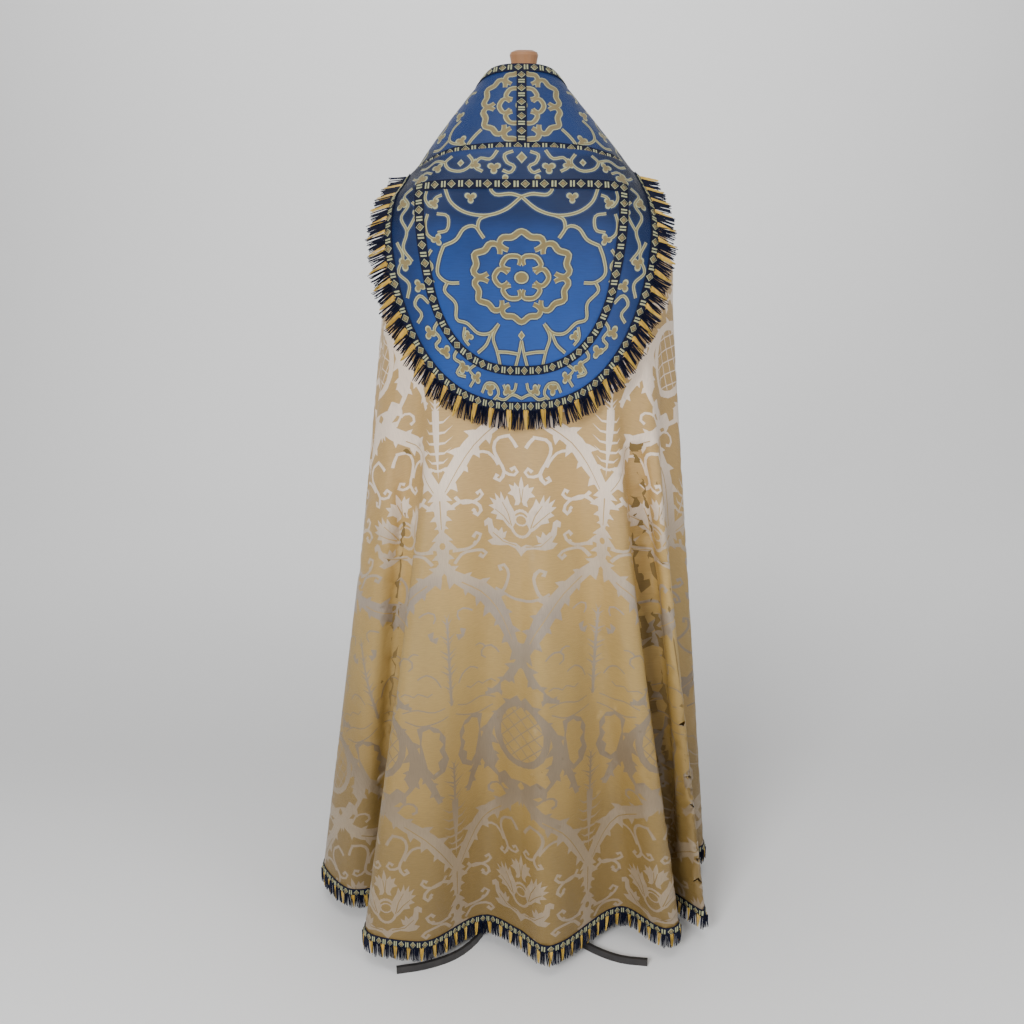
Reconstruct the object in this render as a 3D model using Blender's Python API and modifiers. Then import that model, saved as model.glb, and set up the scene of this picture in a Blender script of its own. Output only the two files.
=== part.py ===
"""Cope vestment on a limbless dress form, photographed from behind.

Metres, Z up. The wearer's back faces -Y, the open front faces +Y, and the
floor is Z = 0. The cloth is worked out from its flat cut: half a circle whose
straight edge is the neck and the two fronts. A point of the cut has a ray,
across (-1 left front edge, 0 centre back, 1 right front edge), and a distance
down that ray from the neck. Trims lie on the cloth's own facets, moved out.
"""

import math

import bmesh
import bpy
import numpy as np
from mathutils import Vector

# Driving dimensions of the cut
NECK_HALF = 0.19          # half of the straight edge that goes round the neck
ORPHREY_WIDTH = 0.163
BRAID = 0.015             # width of every braid
HEM_HEADER = 0.014        # braid header of the hem fringe

# Thicknesses, and the gap between layers
CLOTH = 0.0015
BAND = 0.0012
GAP = 0.0003
MITRE_LIMIT = 0.7

# Neck ring on the dress form
NECK_RADIUS = 0.060
NECK_CENTRE_Y = -0.002
NECK_BACK_Z = 1.530
NECK_FRONT_DROP = 0.078
FRONT_GAP = 0.016         # half of the gap between the two front edges

# Ring where the shoulders turn into the hanging skirt of the cope
SHOULDER_LEFT = 0.234      # it hangs a little fuller on the right
SHOULDER_RIGHT = 0.256
SHOULDER_BACK = 0.215
SHOULDER_FRONT = 0.180
SHOULDER_SQUARE = 3.0     # exponent of the rounded outline, 2 is an ellipse
SHOULDER_Z = 1.170
SHOULDER_FRONT_DROP = 0.030
SLOPE = math.radians(47)  # how steeply the cloth leaves the neck
LEAVE_PULL = 0.64         # how far it keeps that slope, as a share of the span
FALL_PULL = 0.26          # how early it takes up the hang below

# Hem, with one row for each ridge or valley, from centre back to the front edge
HEM_Z = 0.048
CREST = 0.030             # how wide a ridge or valley is rounded
HEM_FRONT_RISE = 0.040
HEM_CENTRE = (0.0, -0.292)
HEM_LEFT = (
    # x, y
    (-0.073, -0.252),
    (-0.178, -0.320),
    (-0.280, -0.286),
    (-0.226, -0.178),
    (-0.335, -0.168),
    (-0.384, -0.078),
    (-0.262, -0.022),
    (-0.378, 0.062),
    (-0.232, 0.098),
    (-0.336, 0.196),
    (-0.176, 0.186),
    (-0.258, 0.306),
    (-0.182, 0.272),
    (-0.184, 0.334),
)
HEM_RIGHT = (
    # x, y
    (0.056, -0.329),
    (0.180, -0.229),
    (0.276, -0.279),
    (0.258, -0.176),
    (0.338, -0.222),
    (0.252, -0.088),
    (0.364, -0.022),
    (0.236, 0.030),
    (0.374, 0.110),
    (0.222, 0.128),
    (0.326, 0.226),
    (0.168, 0.196),
    (0.256, 0.308),
    (0.184, 0.272),
    (0.184, 0.334),
)
HEM_FRONT_Y = 0.340

# Smooth outer ring at the hem, which the hood's hang follows
HULL_HALF = 0.400
HULL_BACK = 0.366
HULL_FRONT = 0.350
HULL_SQUARE = 2.7
HULL_SHOULDER_HALF = 0.258
HULL_SHOULDER_SQUARE = 4.2

# Colours, linear
GOLD = (0.50, 0.37, 0.19)
BLUE = (0.03, 0.09, 0.36)
NAVY = (0.01, 0.015, 0.06)
LINEN = (0.62, 0.56, 0.47)
WOOD = (0.42, 0.24, 0.12)
IRON = (0.05, 0.045, 0.042)

# Facets
SPAN_SAMPLES = 24
WALL_COLUMNS = 2          # facets across a fold's wall
CREST_COLUMNS = 1         # facets across a ridge or valley
CAP_STATIONS = (0.0, 0.20, 0.38, 0.52, 0.68, 0.84, 1.0)
SKIRT_STATIONS = (0.45,)
RING_SAMPLES = 1441
CAP_SAMPLES = 17

# Hood, in the cut's own plane: distances below the neck, half widths
HOOD_CLEAR = 0.008
HOOD_TOP = ORPHREY_WIDTH - 0.004
HOOD_TOP_HALF = 0.214
HOOD_HALF = 0.207
HOOD_SIDE_END = 0.352
HOOD_BOTTOM = 0.562
HOOD_SQUARE = 2.45
HOOD_INNER = 0.056        # from the hood's edge to its inner braid
HOOD_TOP_INNER = 0.051    # the same along its top edge
HOOD_COLUMNS = 56
HOOD_FIELD_SHARES = (0.14, 0.32, 0.52, 0.75, 1.0)
HOOD_BLEND = 0.06         # depth over which it leaves the shoulders
HOOD_SEAT = 0.0064        # lift of the hood's top edge, just over the cloth
HOOD_EYE_Y = -0.20        # point that the hood's fringe spreads away from
HOOD_EYE_Z = 1.20
HOOD_LOCK = 0.034
HOOD_DROOP = 0.75         # how far the side locks hang downwards

HEM_LOCK = 0.0315
LOCK_MIN_ROOT = 0.007
ON_EDGE = 0.001           # points this near to an edge count as on it
LOCK_TIP = 0.66           # width of a lock's end, of its root

# Morse, the band that fastens the fronts
MORSE_COLUMNS = 9
MORSE_ROWS = 4
MORSE_LIFT = 0.0007
MORSE_THICK = 0.0025
MORSE_TOP = 0.215
MORSE_DEEP = 0.060
MORSE_REACH = 0.040

# Dress form, one row for each ring below the shoulders
FORM_GAP = 0.00105
FORM_STATIONS = 4         # stations of the cap that the shoulders follow
FORM_NECK_FALL = 0.012
FORM_COLUMNS = 36
FORM_RINGS = (
    # height, half width, back, front
    (1.265, 0.186, 0.172, 0.142),
    (1.200, 0.180, 0.166, 0.142),
    (1.120, 0.168, 0.150, 0.138),
    (1.020, 0.142, 0.120, 0.120),
    (0.950, 0.132, 0.110, 0.108),
    (0.870, 0.146, 0.126, 0.112),
    (0.780, 0.156, 0.134, 0.116),
    (0.748, 0.150, 0.128, 0.110),
)
FORM_NECK_RADIUS = 0.050
FORM_NECK_TOP = 1.528
KNOB_X = 0.004
KNOB_RADIUS = 0.0235
KNOB_FOOT = 0.0195
KNOB_HEIGHT = 0.0275
POLE_RADIUS = 0.0125
HUB_RADIUS = 0.030
HUB_BOTTOM = 0.052
HUB_TOP = 0.098
LEG_DEEP = 0.014
LEG_THICK = 0.006

# Centre lines of the flat legs, from the hub to the foot
LEG_LEFT = (
    # x, y, z
    (-0.0213, -0.0234, 0.075),
    (-0.040, -0.110, 0.042),
    (-0.062, -0.190, 0.007),
    (-0.084, -0.250, 0.007),
    (-0.122, -0.294, 0.007),
    (-0.175, -0.320, 0.007),
    (-0.224, -0.331, 0.007),
)
LEG_RIGHT = (
    # x, y, z
    (0.0213, -0.0233, 0.075),
    (0.044, -0.110, 0.042),
    (0.068, -0.190, 0.007),
    (0.092, -0.238, 0.007),
    (0.132, -0.277, 0.007),
    (0.180, -0.303, 0.007),
    (0.228, -0.311, 0.007),
)
LEG_FRONT = (
    # x, y, z
    (0.000, 0.0303, 0.075),
    (0.000, 0.130, 0.052),
    (0.000, 0.200, 0.007),
    (0.000, 0.250, 0.007),
    (0.000, 0.290, 0.007),
)


def unit(vectors):
    return vectors / np.linalg.norm(vectors, axis=1)[:, None]


def smooth_curve(points, per_span):
    """A rounded curve through every point, as many dense points."""
    pts = np.array(points, float)
    ends = (2 * pts[0] - pts[1], 2 * pts[-1] - pts[-2])
    pts = np.vstack([ends[0], pts, ends[1]])
    knots = np.concatenate([[0], np.cumsum(np.sqrt(np.linalg.norm(np.diff(pts, axis=0), axis=1)))])
    dense = []
    for i in range(1, len(pts) - 2):
        k0, k1, k2, k3 = knots[i - 1:i + 3]
        for t in np.linspace(k1, k2, per_span, endpoint=False):
            a1 = (k1 - t) / (k1 - k0) * pts[i - 1] + (t - k0) / (k1 - k0) * pts[i]
            a2 = (k2 - t) / (k2 - k1) * pts[i] + (t - k1) / (k2 - k1) * pts[i + 1]
            a3 = (k3 - t) / (k3 - k2) * pts[i + 1] + (t - k2) / (k3 - k2) * pts[i + 2]
            b1 = (k2 - t) / (k2 - k0) * a1 + (t - k0) / (k2 - k0) * a2
            b2 = (k3 - t) / (k3 - k1) * a2 + (t - k1) / (k3 - k1) * a3
            dense.append((k2 - t) / (k2 - k1) * b1 + (t - k1) / (k2 - k1) * b2)
    dense.append(pts[-2])
    return np.array(dense)


def by_length(points, fractions):
    """Points at the given fractions of a polyline's length."""
    run = np.concatenate([[0], np.cumsum(np.linalg.norm(np.diff(points, axis=0), axis=1))])
    return np.stack([np.interp(np.array(fractions) * run[-1], run, c) for c in points.T], axis=1)


def both_sides(left, right, across):
    """A ring of points from a left and a right curve that both start at centre back."""
    ring = np.empty((len(across), left.shape[1]))
    for side, curve in ((-1, left), (1, right)):
        pick = across * side >= 0
        ring[pick] = by_length(curve, np.abs(across[pick]))
    return ring


def round_ring(half, back, front, square):
    """Right half of a rounded outline from centre back to the front gap."""
    turn = np.linspace(0, math.pi, 721)
    x = half * np.sin(turn).clip(0) ** (2 / square)
    c = np.cos(turn)
    y = -np.sign(c) * np.abs(c) ** (2 / square) * np.where(c > 0, back, front)
    keep = (x >= FRONT_GAP) | (turn < math.pi / 2)
    return np.stack([x[keep], y[keep]], axis=1)


def turning_rays(rows, end):
    """Share of the hem's length, from centre back, at each ridge and valley and between them."""
    marks = np.array((HEM_CENTRE,) + rows + (end,))
    course = [marks[0]]
    for before, turn, after in zip(marks, marks[1:], marks[2:]):
        along = (after - before) / np.linalg.norm(after - before) * CREST / 2
        course += [turn - along, turn + along]
    course.append(marks[-1])
    curve = smooth_curve(course, SPAN_SAMPLES)
    run = np.concatenate([[0], np.cumsum(np.linalg.norm(np.diff(curve, axis=0), axis=1))])
    stops = [0]
    for span in range(len(course) - 1):
        pieces = WALL_COLUMNS if span % 2 == 0 else CREST_COLUMNS
        stops += [span * SPAN_SAMPLES + SPAN_SAMPLES * (i + 1) // pieces for i in range(pieces)]
    return curve, run[stops] / run[-1]


class Drape:
    """The hung cloth: a cap over the shoulders and straight falls to the hem ring."""

    def __init__(self, hem_left, hem_right, reach_left, reach_right, square):
        self.across = np.linspace(-1, 1, RING_SAMPLES)
        bent = self.front_share(self.across)
        turn = self.across * (math.pi - math.asin(FRONT_GAP / NECK_RADIUS))
        self.neck = np.stack([
            NECK_RADIUS * np.sin(turn),
            NECK_CENTRE_Y - NECK_RADIUS * np.cos(turn),
            NECK_BACK_Z - NECK_FRONT_DROP * ((1 - np.cos(turn)) / 2) ** 1.4,
        ], axis=1)
        left = round_ring(reach_left, SHOULDER_BACK, SHOULDER_FRONT, square) * (-1, 1)
        right = round_ring(reach_right, SHOULDER_BACK, SHOULDER_FRONT, square)
        plan = both_sides(left, right, self.across)
        self.shoulder = np.column_stack([plan, SHOULDER_Z - SHOULDER_FRONT_DROP * bent])
        plan = both_sides(hem_left, hem_right, self.across)
        self.hem = np.column_stack([plan, HEM_Z + HEM_FRONT_RISE * bent])

    @staticmethod
    def front_share(across):
        return np.abs(across) ** 3

    def ring(self, table, across):
        return np.stack([np.interp(across, self.across, c) for c in table.T], axis=1)

    def cap(self, across):
        """Dense points of the shoulder cap below the neck, for each ray."""
        neck = self.ring(self.neck, across)
        shoulder = self.ring(self.shoulder, across)
        fall = self.ring(self.hem, across) - shoulder
        fall /= np.linalg.norm(fall, axis=1)[:, None]
        out = neck[:, :2] - (0, NECK_CENTRE_Y)
        out /= np.linalg.norm(out, axis=1)[:, None]
        leave = np.column_stack([out * math.cos(SLOPE), np.full(len(out), -math.sin(SLOPE))])
        span = np.linalg.norm(shoulder - neck, axis=1)[:, None]
        a = neck + leave * span * LEAVE_PULL
        b = shoulder - fall * span * FALL_PULL
        t = np.linspace(0, 1, CAP_SAMPLES)[None, :, None]
        n, a, b, s = (v[:, None, :] for v in (neck, a, b, shoulder))
        return (1 - t) ** 3 * n + 3 * t * (1 - t) ** 2 * a + 3 * t * t * (1 - t) * b + t ** 3 * s

    def lengths(self, across):
        """Length of the cap and of the straight fall on each ray."""
        cap = self.cap(across)
        over = np.linalg.norm(np.diff(cap, axis=1), axis=2).sum(axis=1)
        fall = np.linalg.norm(self.ring(self.hem, across) - cap[:, -1], axis=1)
        return over, fall

    def above_hem(self, flat):
        """How far points of the cut are from the hem, along their rays."""
        across, down = from_flat(*flat.T)
        over, fall = self.lengths(across)
        return over + fall - down

    def point(self, across, down):
        """Places in space of cut points, given by ray and distance from the neck."""
        across, down = np.atleast_1d(across), np.atleast_1d(down)
        cap = self.cap(across)
        steps = np.linalg.norm(np.diff(cap, axis=1), axis=2)
        run = np.concatenate([np.zeros((len(across), 1)), np.cumsum(steps, axis=1)], axis=1)
        rows = np.arange(len(across))
        k = np.clip((run < down[:, None]).sum(axis=1) - 1, 0, CAP_SAMPLES - 2)
        part = ((down - run[rows, k]) / steps[rows, k]).clip(0, 1)[:, None]
        on_cap = cap[rows, k] * (1 - part) + cap[rows, k + 1] * part
        fall = self.ring(self.hem, across) - cap[:, -1]
        fall /= np.linalg.norm(fall, axis=1)[:, None]
        return on_cap + fall * (down - run[:, -1]).clip(0)[:, None]


def to_flat(across, down):
    """Flat cut coordinates: along the straight edge, and below it."""
    turn = across * math.pi / 2
    return np.stack([NECK_HALF * across + down * np.sin(turn), down * np.cos(turn)], axis=-1)


def from_flat(along, below):
    """Ray and distance of a point of the flat cut."""
    lo, hi = np.zeros(len(along)), np.ones(len(along))
    x, y = np.abs(along), np.maximum(below, 0)
    for _ in range(40):
        mid = (lo + hi) / 2
        turn = mid * math.pi / 2
        outside = (x - NECK_HALF * mid) * np.cos(turn) > y * np.sin(turn)
        lo, hi = np.where(outside, mid, lo), np.where(outside, hi, mid)
    ray = (lo + hi) / 2
    down = np.hypot(x - NECK_HALF * ray, y)
    return ray * np.sign(along), down


def folded_drape():
    """The cope's own drape, and the rays of its facets."""
    left, left_rays = turning_rays(HEM_LEFT, (-FRONT_GAP, HEM_FRONT_Y))
    right, right_rays = turning_rays(HEM_RIGHT, (FRONT_GAP, HEM_FRONT_Y))
    drape = Drape(left, right, SHOULDER_LEFT, SHOULDER_RIGHT, SHOULDER_SQUARE)
    return drape, np.concatenate([-left_rays[::-1], right_rays[1:]])


def hull_drape():
    half = round_ring(HULL_HALF, HULL_BACK, HULL_FRONT, HULL_SQUARE)
    reach = HULL_SHOULDER_HALF
    return Drape(half * (-1, 1), half, reach, reach, HULL_SHOULDER_SQUARE)


class Panel:
    """A cut piece with its facets, kept in the flat and in space."""

    def __init__(self, bm, place):
        bmesh.ops.triangulate(bm, faces=bm.faces, quad_method="FIXED")
        bm.verts.index_update()
        self.flat = np.array([v.co[:2] for v in bm.verts])
        self.faces = np.array([[v.index for v in f.verts] for f in bm.faces])
        self.space = place(bm)
        a, b, c = (self.space[self.faces[:, i]] for i in range(3))
        facing = unit(np.cross(b - a, c - a))
        self.normal = np.zeros_like(self.space)
        for i, corner, one, other in ((0, a, b, c), (1, b, c, a), (2, c, a, b)):
            cosine = (unit(one - corner) * unit(other - corner)).sum(axis=1)
            angle = np.arccos(cosine.clip(-1, 1))
            np.add.at(self.normal, self.faces[:, i], facing * angle[:, None])
        self.normal = unit(self.normal)
        # At a crease the points move further, so that both facets keep their distance
        lean = np.ones(len(self.space))
        for i in range(3):
            np.minimum.at(lean, self.faces[:, i], (self.normal[self.faces[:, i]] * facing).sum(axis=1))
        self.normal /= lean.clip(MITRE_LIMIT)[:, None]
        self.normal *= np.sign((self.normal[:, :2] * self.space[:, :2]).sum())
        self.middle = self.flat[self.faces].mean(axis=1)
        inset = bm.verts.layers.float.get("inset")
        if inset:
            self.inset = np.array([v[inset] for v in bm.verts])
        bm.free()

    def shell(self, keep, lift, thick):
        """A closed wall on the chosen facets, lifted off the panel's own points."""
        lift = np.broadcast_to(lift, len(self.flat))
        bm = bmesh.new()
        number = bm.verts.layers.int.new("point")
        verts = {}
        for i in np.unique(self.faces[keep]):
            verts[i] = bm.verts.new(self.space[i] + self.normal[i] * lift[i])
            verts[i][number] = int(i)
        for f in self.faces[keep]:
            bm.faces.new([verts[i] for i in f])
        grown = bmesh.ops.extrude_face_region(bm, geom=bm.faces[:], use_keep_orig=True)["geom"]
        for v in grown:
            if isinstance(v, bmesh.types.BMVert):
                v.co += Vector(self.normal[v[number]] * thick)
        bmesh.ops.recalc_face_normals(bm, faces=bm.faces)
        return bm


def cut_lines(bm, along=(), below=()):
    """Adds straight rows of points to a flat piece, where a trim's edge will lie."""
    for axis, places in (((1, 0, 0), along), ((0, 1, 0), below)):
        for place in places:
            geom = bm.verts[:] + bm.edges[:] + bm.faces[:]
            spot = Vector(axis) * place
            bmesh.ops.bisect_plane(bm, geom=geom, dist=1e-5, plane_co=spot, plane_no=axis)


def cope_panel(drape, rays):
    """The half circle, cut in its own plane and hung."""
    columns = len(rays) - 1
    cap, fall = drape.lengths(rays)
    stations = [cap * s for s in CAP_STATIONS]
    stations += [cap + fall * s for s in SKIRT_STATIONS]
    stations += [cap + fall - HEM_HEADER, cap + fall]
    down = np.array(stations)
    hung = [drape.point(rays, d) for d in down]
    bm = bmesh.new()
    hanging = bm.verts.layers.float_vector.new("hanging")
    bmesh.ops.create_grid(bm, x_segments=columns, y_segments=len(down) - 1, size=0.5)
    for v in bm.verts:
        i = round((v.co.x + 0.5) * columns)
        j = round((v.co.y + 0.5) * (len(down) - 1))
        v.co = (*to_flat(rays[i], down[j, i]), 0)
        v[hanging] = hung[j][i]
    # The lines' own points stay on the facets, because the hung places are shared out too
    cut_lines(bm, (-BRAID / 2, BRAID / 2, 0), (BRAID, ORPHREY_WIDTH - BRAID, ORPHREY_WIDTH))
    return Panel(bm, lambda bm: np.array([v[hanging][:] for v in bm.verts]))


def hood_outline(inset=0.0):
    """Half of the hood's edge in the cut, from its top corner to the bottom point."""
    half = HOOD_HALF - inset
    top = HOOD_TOP + inset
    round_deep = HOOD_BOTTOM - HOOD_SIDE_END - inset
    turn = np.linspace(0, math.pi / 2, 90)
    x = half * np.cos(turn) ** (2 / HOOD_SQUARE)
    y = HOOD_SIDE_END + round_deep * np.sin(turn) ** (2 / HOOD_SQUARE)
    return np.vstack([(HOOD_TOP_HALF - inset, top), np.stack([x, y], axis=1)])


def hood_panel(drape, hull):
    """The shield, as rings from its edge to its middle line."""
    insets = [0.0, BRAID, (BRAID + HOOD_INNER) / 2, HOOD_INNER, HOOD_INNER + BRAID]
    share = np.linspace(0, 1, HOOD_COLUMNS // 2 + 1)
    rings = []
    for inset in insets:
        half = by_length(hood_outline(inset), share)
        rings.append(np.vstack([half, half[-2::-1] * (-1, 1)]))
    spine = np.zeros_like(rings[-1])
    spine[:, 1] = rings[-1][:, 1].clip(None, HOOD_SIDE_END + 0.03)
    innermost = rings[-1]
    for share in HOOD_FIELD_SHARES:
        rings.append(spine * share + innermost * (1 - share))
        insets.append(HOOD_INNER + BRAID + share * HOOD_INNER)
    for ring in rings:
        top = np.isclose(ring[:, 1], ring[:, 1].min())
        ring[top, 1] = HOOD_TOP
    bm = bmesh.new()
    inset = bm.verts.layers.float.new("inset")
    bmesh.ops.create_grid(bm, x_segments=HOOD_COLUMNS, y_segments=len(rings) - 1, size=0.5)
    for v in bm.verts:
        i = round((v.co.x + 0.5) * HOOD_COLUMNS)
        j = round((v.co.y + 0.5) * (len(rings) - 1))
        v.co = (*rings[j][i], 0)
        v[inset] = insets[j]
    bmesh.ops.remove_doubles(bm, verts=bm.verts, dist=1e-5)
    cut_lines(bm, below=(HOOD_TOP + HOOD_TOP_INNER, HOOD_TOP + HOOD_TOP_INNER + BRAID))

    def place(bm):
        flat = np.array([v.co[:2] for v in bm.verts])
        ray, down = from_flat(flat[:, 0], flat[:, 1])
        share = ((flat[:, 1] - HOOD_TOP) / HOOD_BLEND).clip(0, 1)[:, None]
        ease = share * share * (3 - 2 * share)
        return drape.point(ray, down) * (1 - ease) + hull.point(ray, down) * ease

    return Panel(bm, place)


def add_locks(bm, on_edge, towards, length):
    """Fringe: one four sided lock from each piece of the header's outer rim."""
    number = bm.verts.layers.int["point"]
    roots = [f for f in bm.faces if len(f.verts) == 4 and all(on_edge[v[number]] for v in f.verts)]
    roots = [f for f in roots if max(e.calc_length() for e in f.edges) > LOCK_MIN_ROOT]
    for face in bmesh.ops.extrude_discrete_faces(bm, faces=roots)["faces"]:
        middle = face.calc_center_median()
        run = max(face.edges, key=lambda e: e.calc_length())
        line = (run.verts[0].co - run.verts[1].co).normalized()
        for v in face.verts:
            v.co += towards(middle) * length - line * (v.co - middle).dot(line) * (1 - LOCK_TIP)


def add_piece(name, bm, colour, rough, metal=0.0):
    """An object of its own for one piece, with its material."""
    mesh = bpy.data.meshes.new(name)
    bm.to_mesh(mesh)
    bm.free()
    mesh.shade_smooth()
    mesh.set_sharp_from_angle(angle=math.radians(40))
    mat = bpy.data.materials.new(name)
    mat.use_nodes = True
    shader = mat.node_tree.nodes["Principled BSDF"]
    shader.inputs["Base Color"].default_value = (*colour, 1)
    shader.inputs["Roughness"].default_value = rough
    shader.inputs["Metallic"].default_value = metal
    mesh.materials.append(mat)
    obj = bpy.data.objects.new(name, mesh)
    collection.objects.link(obj)
    return obj


def make_cope(panel):
    """The gold cloth, whole, from the neck to the hem."""
    every = np.ones(len(panel.faces), bool)
    add_piece("cope_body", panel.shell(every, 0.0, CLOTH), GOLD, 0.45)


def make_orphreys(panel, header):
    """The blue band in two halves, and the braids on it."""
    along, below = panel.middle.T
    band = (below < ORPHREY_WIDTH) & ~header
    on_cloth = CLOTH + GAP
    on_band = on_cloth + BAND + GAP
    add_piece("orphrey_left", panel.shell(band & (along < 0), on_cloth, BAND), BLUE, 0.5)
    # The halves meet in a seam, so the second one is drawn back from the first
    shifted = panel.shell(band & (along > 0), on_cloth, BAND)
    number = shifted.verts.layers.int["point"]
    for v in shifted.verts:
        if abs(panel.flat[v[number]][0]) < 1e-6:
            v.co.x += GAP
    add_piece("orphrey_right", shifted, BLUE, 0.5)
    add_piece("edge_braid", panel.shell(band & (below < BRAID), on_band, BAND), NAVY, 0.6)
    lower = band & (below > ORPHREY_WIDTH - BRAID)
    add_piece("orphrey_braid", panel.shell(lower, on_band, BAND), NAVY, 0.6)
    middle = (np.abs(along) < BRAID / 2) & (below > BRAID) & (below < ORPHREY_WIDTH - BRAID)
    short = panel.shell(middle, on_band, BAND)
    number = short.verts.layers.int["point"]
    downhill = Vector((0, -math.cos(SLOPE), -math.sin(SLOPE)))
    for v in short.verts:
        for end, inwards in ((BRAID, 1), (ORPHREY_WIDTH - BRAID, -1)):
            if abs(panel.flat[v[number]][1] - end) < 1e-6:
                v.co += downhill * inwards * GAP
    add_piece("centre_back_braid", short, NAVY, 0.6)


def make_hem_fringe(panel, header, above_hem):
    """Braid header outside the hem, with locks that hang from it."""
    bm = panel.shell(header, CLOTH + GAP, BAND)
    number = bm.verts.layers.int["point"]
    for v in bm.verts:
        if above_hem[v[number]] > HEM_HEADER / 2:
            v.co.z -= GAP
    add_locks(bm, above_hem < ON_EDGE, lambda spot: Vector((0, 0, -1)), HEM_LOCK)
    add_piece("hem_fringe", bm, NAVY, 0.6)


def make_hood(panel):
    """The hood, its inner braid, and its fringe."""
    below = panel.flat[:, 1]
    rise = ((below - HOOD_TOP) / HOOD_BLEND).clip(0, 1)
    lift = HOOD_SEAT + (HOOD_CLEAR - HOOD_SEAT) * rise
    every = np.ones(len(panel.faces), bool)
    add_piece("hood", panel.shell(every, lift, CLOTH), BLUE, 0.5)
    inset = panel.inset[panel.faces].mean(axis=1)
    level = panel.middle[:, 1] - HOOD_TOP
    within = (inset > HOOD_INNER) & (level > HOOD_TOP_INNER)
    along_edge = within & (inset < HOOD_INNER + BRAID)
    along_top = within & (level < HOOD_TOP_INNER + BRAID)
    on_hood = lift + CLOTH + GAP
    add_piece("hood_inner_braid", panel.shell(along_edge | along_top, on_hood, BAND), NAVY, 0.6)
    bm = panel.shell(inset < BRAID, on_hood, BAND)
    centre = Vector((0, HOOD_EYE_Y, HOOD_EYE_Z))

    def towards(spot):
        away = (spot - centre)
        away.y *= 0.25
        return (away.normalized() + Vector((0, 0, -HOOD_DROOP))).normalized()

    add_locks(bm, panel.inset < ON_EDGE, towards, HOOD_LOCK)
    add_piece("hood_fringe", bm, NAVY, 0.6)


def loft(rings):
    """A closed body through rings of equal count, capped at both ends."""
    bm = bmesh.new()
    loops = []
    for ring in rings:
        verts = [bm.verts.new(p) for p in ring]
        loops.append([bm.edges.new((a, b)) for a, b in zip(verts, verts[1:] + verts[:1])])
    for low, high in zip(loops, loops[1:]):
        bmesh.ops.bridge_loops(bm, edges=low + high)
    bmesh.ops.contextual_create(bm, geom=loops[0])
    bmesh.ops.contextual_create(bm, geom=loops[-1])
    bmesh.ops.recalc_face_normals(bm, faces=bm.faces)
    return bm


def make_form(drape):
    """The torso: the cloth's own shoulders moved in, then a plain figure below."""
    share = (np.arange(FORM_COLUMNS) + 0.5) / FORM_COLUMNS * 2 - 1
    turn = share * math.pi
    c, s = np.cos(turn), np.sin(turn)
    round_neck = np.column_stack([FORM_NECK_RADIUS * s, NECK_CENTRE_Y - FORM_NECK_RADIUS * c])
    fall = FORM_NECK_FALL + NECK_FRONT_DROP * ((1 - c) / 2) ** 1.4
    rings = [
        np.column_stack([round_neck, np.full(FORM_COLUMNS, FORM_NECK_TOP)]),
        np.column_stack([round_neck, FORM_NECK_TOP - fall]),
    ]
    cap, _ = drape.lengths(share)
    for part in CAP_STATIONS[1:FORM_STATIONS]:
        here = drape.point(share, cap * part)
        down = drape.point(share, cap * (part + 0.01)) - here
        aside = drape.point(share + 0.002, cap * part) - drape.point(share - 0.002, cap * part)
        normal = np.cross(aside, down)
        normal /= np.linalg.norm(normal, axis=1)[:, None]
        outward = (normal[:, :2] * (here[:, :2] - (0, NECK_CENTRE_Y))).sum(axis=1)
        rings.append(here - normal * np.sign(outward)[:, None] * FORM_GAP)
    for z, half, back, front in FORM_RINGS:
        x = half * np.sign(s) * np.abs(s) ** (2 / SHOULDER_SQUARE)
        y = -np.sign(c) * np.abs(c) ** (2 / SHOULDER_SQUARE) * np.where(c > 0, back, front)
        rings.append(np.column_stack([x, y, np.full(FORM_COLUMNS, z)]))
    add_piece("form_torso", loft(rings), LINEN, 0.9)


def make_knob():
    """The turned wooden cap on the neck."""
    foot = FORM_NECK_TOP + GAP
    high = foot + KNOB_HEIGHT
    profile = (
        (0, high), (KNOB_RADIUS * 0.62, high - 0.0006), (KNOB_RADIUS * 0.92, high - 0.0036),
        (KNOB_RADIUS, high - 0.0080), (KNOB_FOOT, foot), (0, foot),
    )
    bm = bmesh.new()
    verts = [bm.verts.new((x, 0, z)) for x, z in profile]
    edges = [bm.edges.new(pair) for pair in zip(verts, verts[1:])]
    bmesh.ops.spin(bm, geom=verts + edges, axis=(0, 0, 1), cent=(0, 0, 0),
                   angle=math.tau, steps=24, use_merge=True)
    bmesh.ops.remove_doubles(bm, verts=bm.verts, dist=1e-5)
    bmesh.ops.recalc_face_normals(bm, faces=bm.faces)
    bmesh.ops.translate(bm, verts=bm.verts, vec=(KNOB_X, NECK_CENTRE_Y, 0))
    add_piece("form_knob", bm, WOOD, 0.45)


def make_post(name, radius, low, high, colour, rough, metal):
    bm = bmesh.new()
    bmesh.ops.create_cone(bm, cap_ends=True, segments=20, radius1=radius, radius2=radius,
                          depth=high - low)
    bmesh.ops.translate(bm, verts=bm.verts, vec=(0, 0, (low + high) / 2))
    add_piece(name, bm, colour, rough, metal)


def make_leg(name, route):
    """A flat bar on edge, from the hub's side down to a foot on the floor."""
    spine = smooth_curve(route, per_span=3)
    spine[:, 2] = spine[:, 2].clip(LEG_DEEP / 2)
    bm = bmesh.new()
    low = [bm.verts.new(Vector(p) - Vector((0, 0, LEG_DEEP / 2))) for p in spine]
    for a, b in zip(low, low[1:]):
        bm.edges.new((a, b))
    raised = bmesh.ops.extrude_edge_only(bm, edges=bm.edges[:])["geom"]
    high = [v for v in raised if isinstance(v, bmesh.types.BMVert)]
    bmesh.ops.translate(bm, verts=high, vec=(0, 0, LEG_DEEP))
    obj = add_piece(name, bm, IRON, 0.45, 0.9)
    wall = obj.modifiers.new("Bar", "SOLIDIFY")
    wall.thickness = LEG_THICK
    wall.offset = 0


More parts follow.
